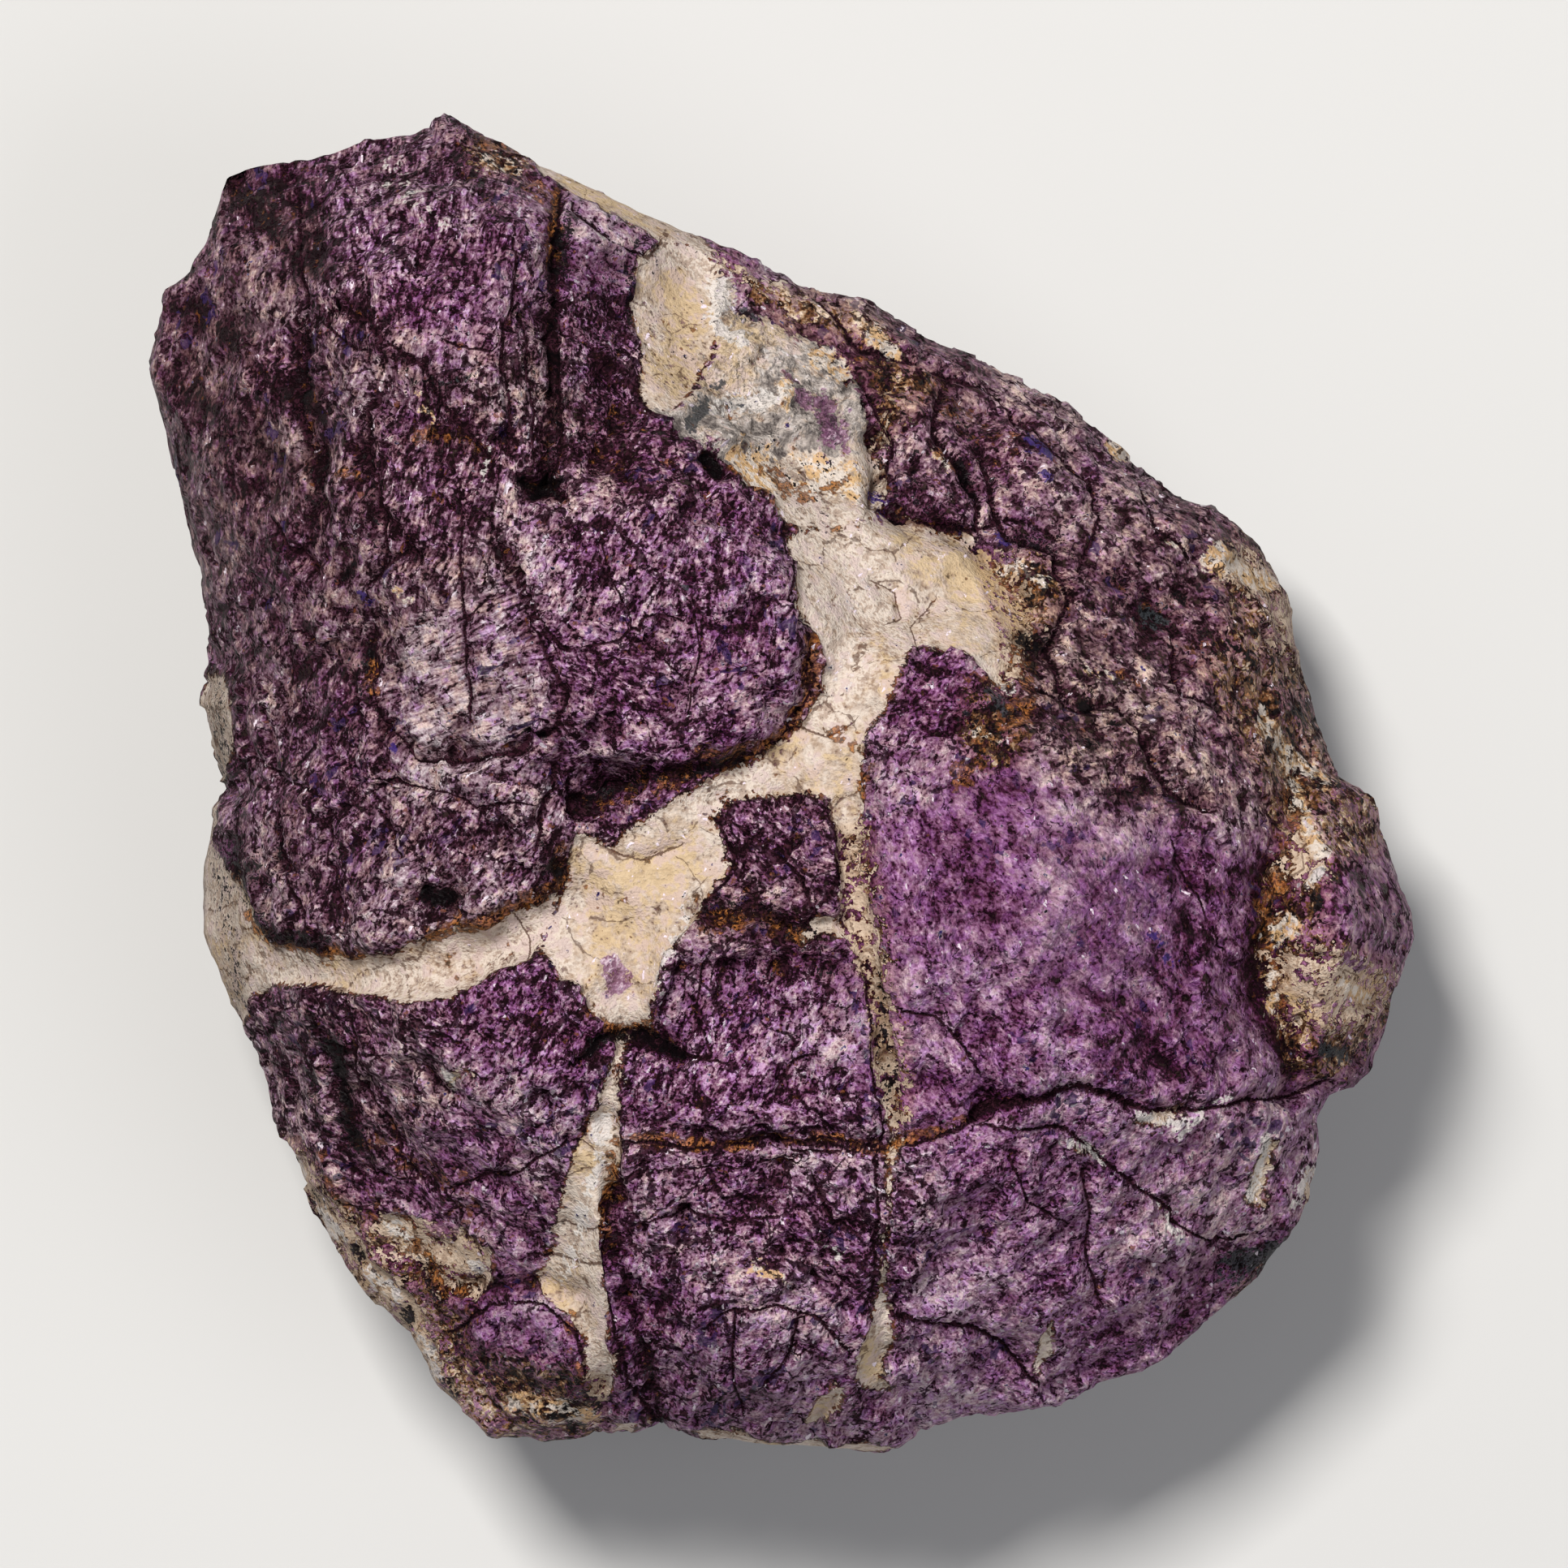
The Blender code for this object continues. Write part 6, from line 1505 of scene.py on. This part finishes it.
def setSheen(w):
    # veins and dark places are rougher, and glints smoother
    rough = w.weigh(w.mix(0.55, crystalTone=-0.25), veinMask=0.2, dark=0.35)
    w.put(w.shader.inputs["Roughness"], w.plus(w.glint, -0.3, rough, clamp=True))
    w.put(w.shader.inputs["Specular IOR Level"], w.weigh(0.09, dark=-0.07))
    w.shader.inputs["IOR"].default_value = stoneFinish["index"]


def setBump(w):
    # heights in millimetres: tilted crystals with sunken cracks, and softer, pitted cream
    heights = {
        "Factor": w.veinMask, "A": w.weigh(None, **stoneFinish["tilts"]),
        "B": w.weigh(None, creamPits=-0.06, blotch=0.14)}
    height = w.node("ShaderNodeMix", heights, data_type="FLOAT").outputs[0]
    height = w.weigh(height, fleck=0.12, grit=0.08)
    bump = w.node("ShaderNodeBump", {"Height": height, "Strength": 1.0, "Distance": mm})
    w.put(w.shader.inputs["Normal"], bump.outputs[0])


def stoneMaterial():
    # minerals first, then stains, rust, dark places with painted shade, and painted glints laid over them in
    # turn
    w = Weave("purpurite_skin")
    readFields(w)
    shareNoises(w)
    setTone(w)
    setCracks(w)
    setVeinEdge(w)
    colour = layMinerals(w)
    for layer in (layStains, layRust, layDark, layGlints):
        colour = layer(w, colour)
    w.put(w.shader.inputs["Base Color"], colour)
    setSheen(w)
    setBump(w)
    print("stone material made")
    return w.material


stone.data.materials.append(stoneMaterial())


# Floor, light and camera, in metres
studio = {
    "floorSize": 1.6, "floorColour": (0.52, 0.515, 0.505), "floorDarker": 0.97,
    "floorNoise": (14.0, 4.0, 0.6), "floorRoughness": 0.9, "world": (0.80, 0.82, 0.86), "worldStrength": 0.26,
    "lights": {
        "key": ((-0.20, 0.30, 0.77), 0.20, 10.0, (1.0, 0.98, 0.95)),
        "fill": ((0.50, -0.25, 0.60), 0.6, 2.2, (0.94, 0.96, 1.0))},
    "lightAim": 0.02, "cameraHeight": 1.0, "sharpHeight": 0.018, "sensor": 36.0, "cameraRange": (0.01, 10.0),
}


def makeFloor():
    # a level square under the stone, one face
    half = studio["floorSize"] / 2.0
    corners = [(-half, -half, 0.0), (half, -half, 0.0), (half, half, 0.0), (-half, half, 0.0)]
    mesh = bpy.data.meshes.new("floor")
    mesh.from_pydata(corners, [], [(0, 1, 2, 3)])
    floor = bpy.data.objects.new("floor", mesh)
    bpy.context.scene.collection.objects.link(floor)
    w = Weave("pale_floor")
    tone = w.noise(w.node("ShaderNodeTexCoord").outputs["Object"], *studio["floorNoise"])
    darker = tuple(channel * studio["floorDarker"] for channel in studio["floorColour"])
    w.put(w.shader.inputs["Base Color"], w.blend(tone, darker, studio["floorColour"]))
    w.shader.inputs["Roughness"].default_value = studio["floorRoughness"]
    floor.data.materials.append(w.material)


def makeLight(name, place, size, power, colour):
    # a square soft light turned towards the stone
    data = bpy.data.lights.new(name, "AREA")
    data.size, data.energy, data.color = size, power, colour
    light = bpy.data.objects.new(name, data)
    light.location = place
    aimX, aimY, aimZ = np.array([0.0, 0.0, studio["lightAim"]]) - np.array(place)
    light.visible_camera = False
    light.rotation_euler = (
        math.atan2(math.hypot(aimX, aimY), -aimZ), 0.0, math.atan2(aimY, aimX) - math.pi / 2.0)
    bpy.context.scene.collection.objects.link(light)


def makeCamera():
    # straight above, as the photograph looks, with the frame's width fitted at the stone's widest line
    data = bpy.data.cameras.new("camera")
    frameWide = photo["side"] * pixel * mm
    offset = (photo["side"] / 2.0 - photo["middle"]) * pixel * mm
    data.sensor_width = studio["sensor"]
    data.lens = studio["sensor"] * (studio["cameraHeight"] - studio["sharpHeight"]) / frameWide
    data.clip_start, data.clip_end = studio["cameraRange"]
    camera = bpy.data.objects.new("camera", data)
    camera.location = (offset, -offset, studio["cameraHeight"])
    bpy.context.scene.collection.objects.link(camera)
    bpy.context.scene.camera = camera


def makeWorld():
    # an even, faint light from all sides
    world = bpy.data.worlds.new("studio")
    world.use_nodes = True
    back = world.node_tree.nodes["Background"]
    back.inputs["Color"].default_value = (*studio["world"], 1.0)
    back.inputs["Strength"].default_value = studio["worldStrength"]
    bpy.context.scene.world = world
    bpy.context.scene.view_settings.view_transform = "Standard"


makeFloor()
for name, settings in studio["lights"].items():
    makeLight(name, *settings)
makeCamera()
makeWorld()
print("floor, lights and camera made")
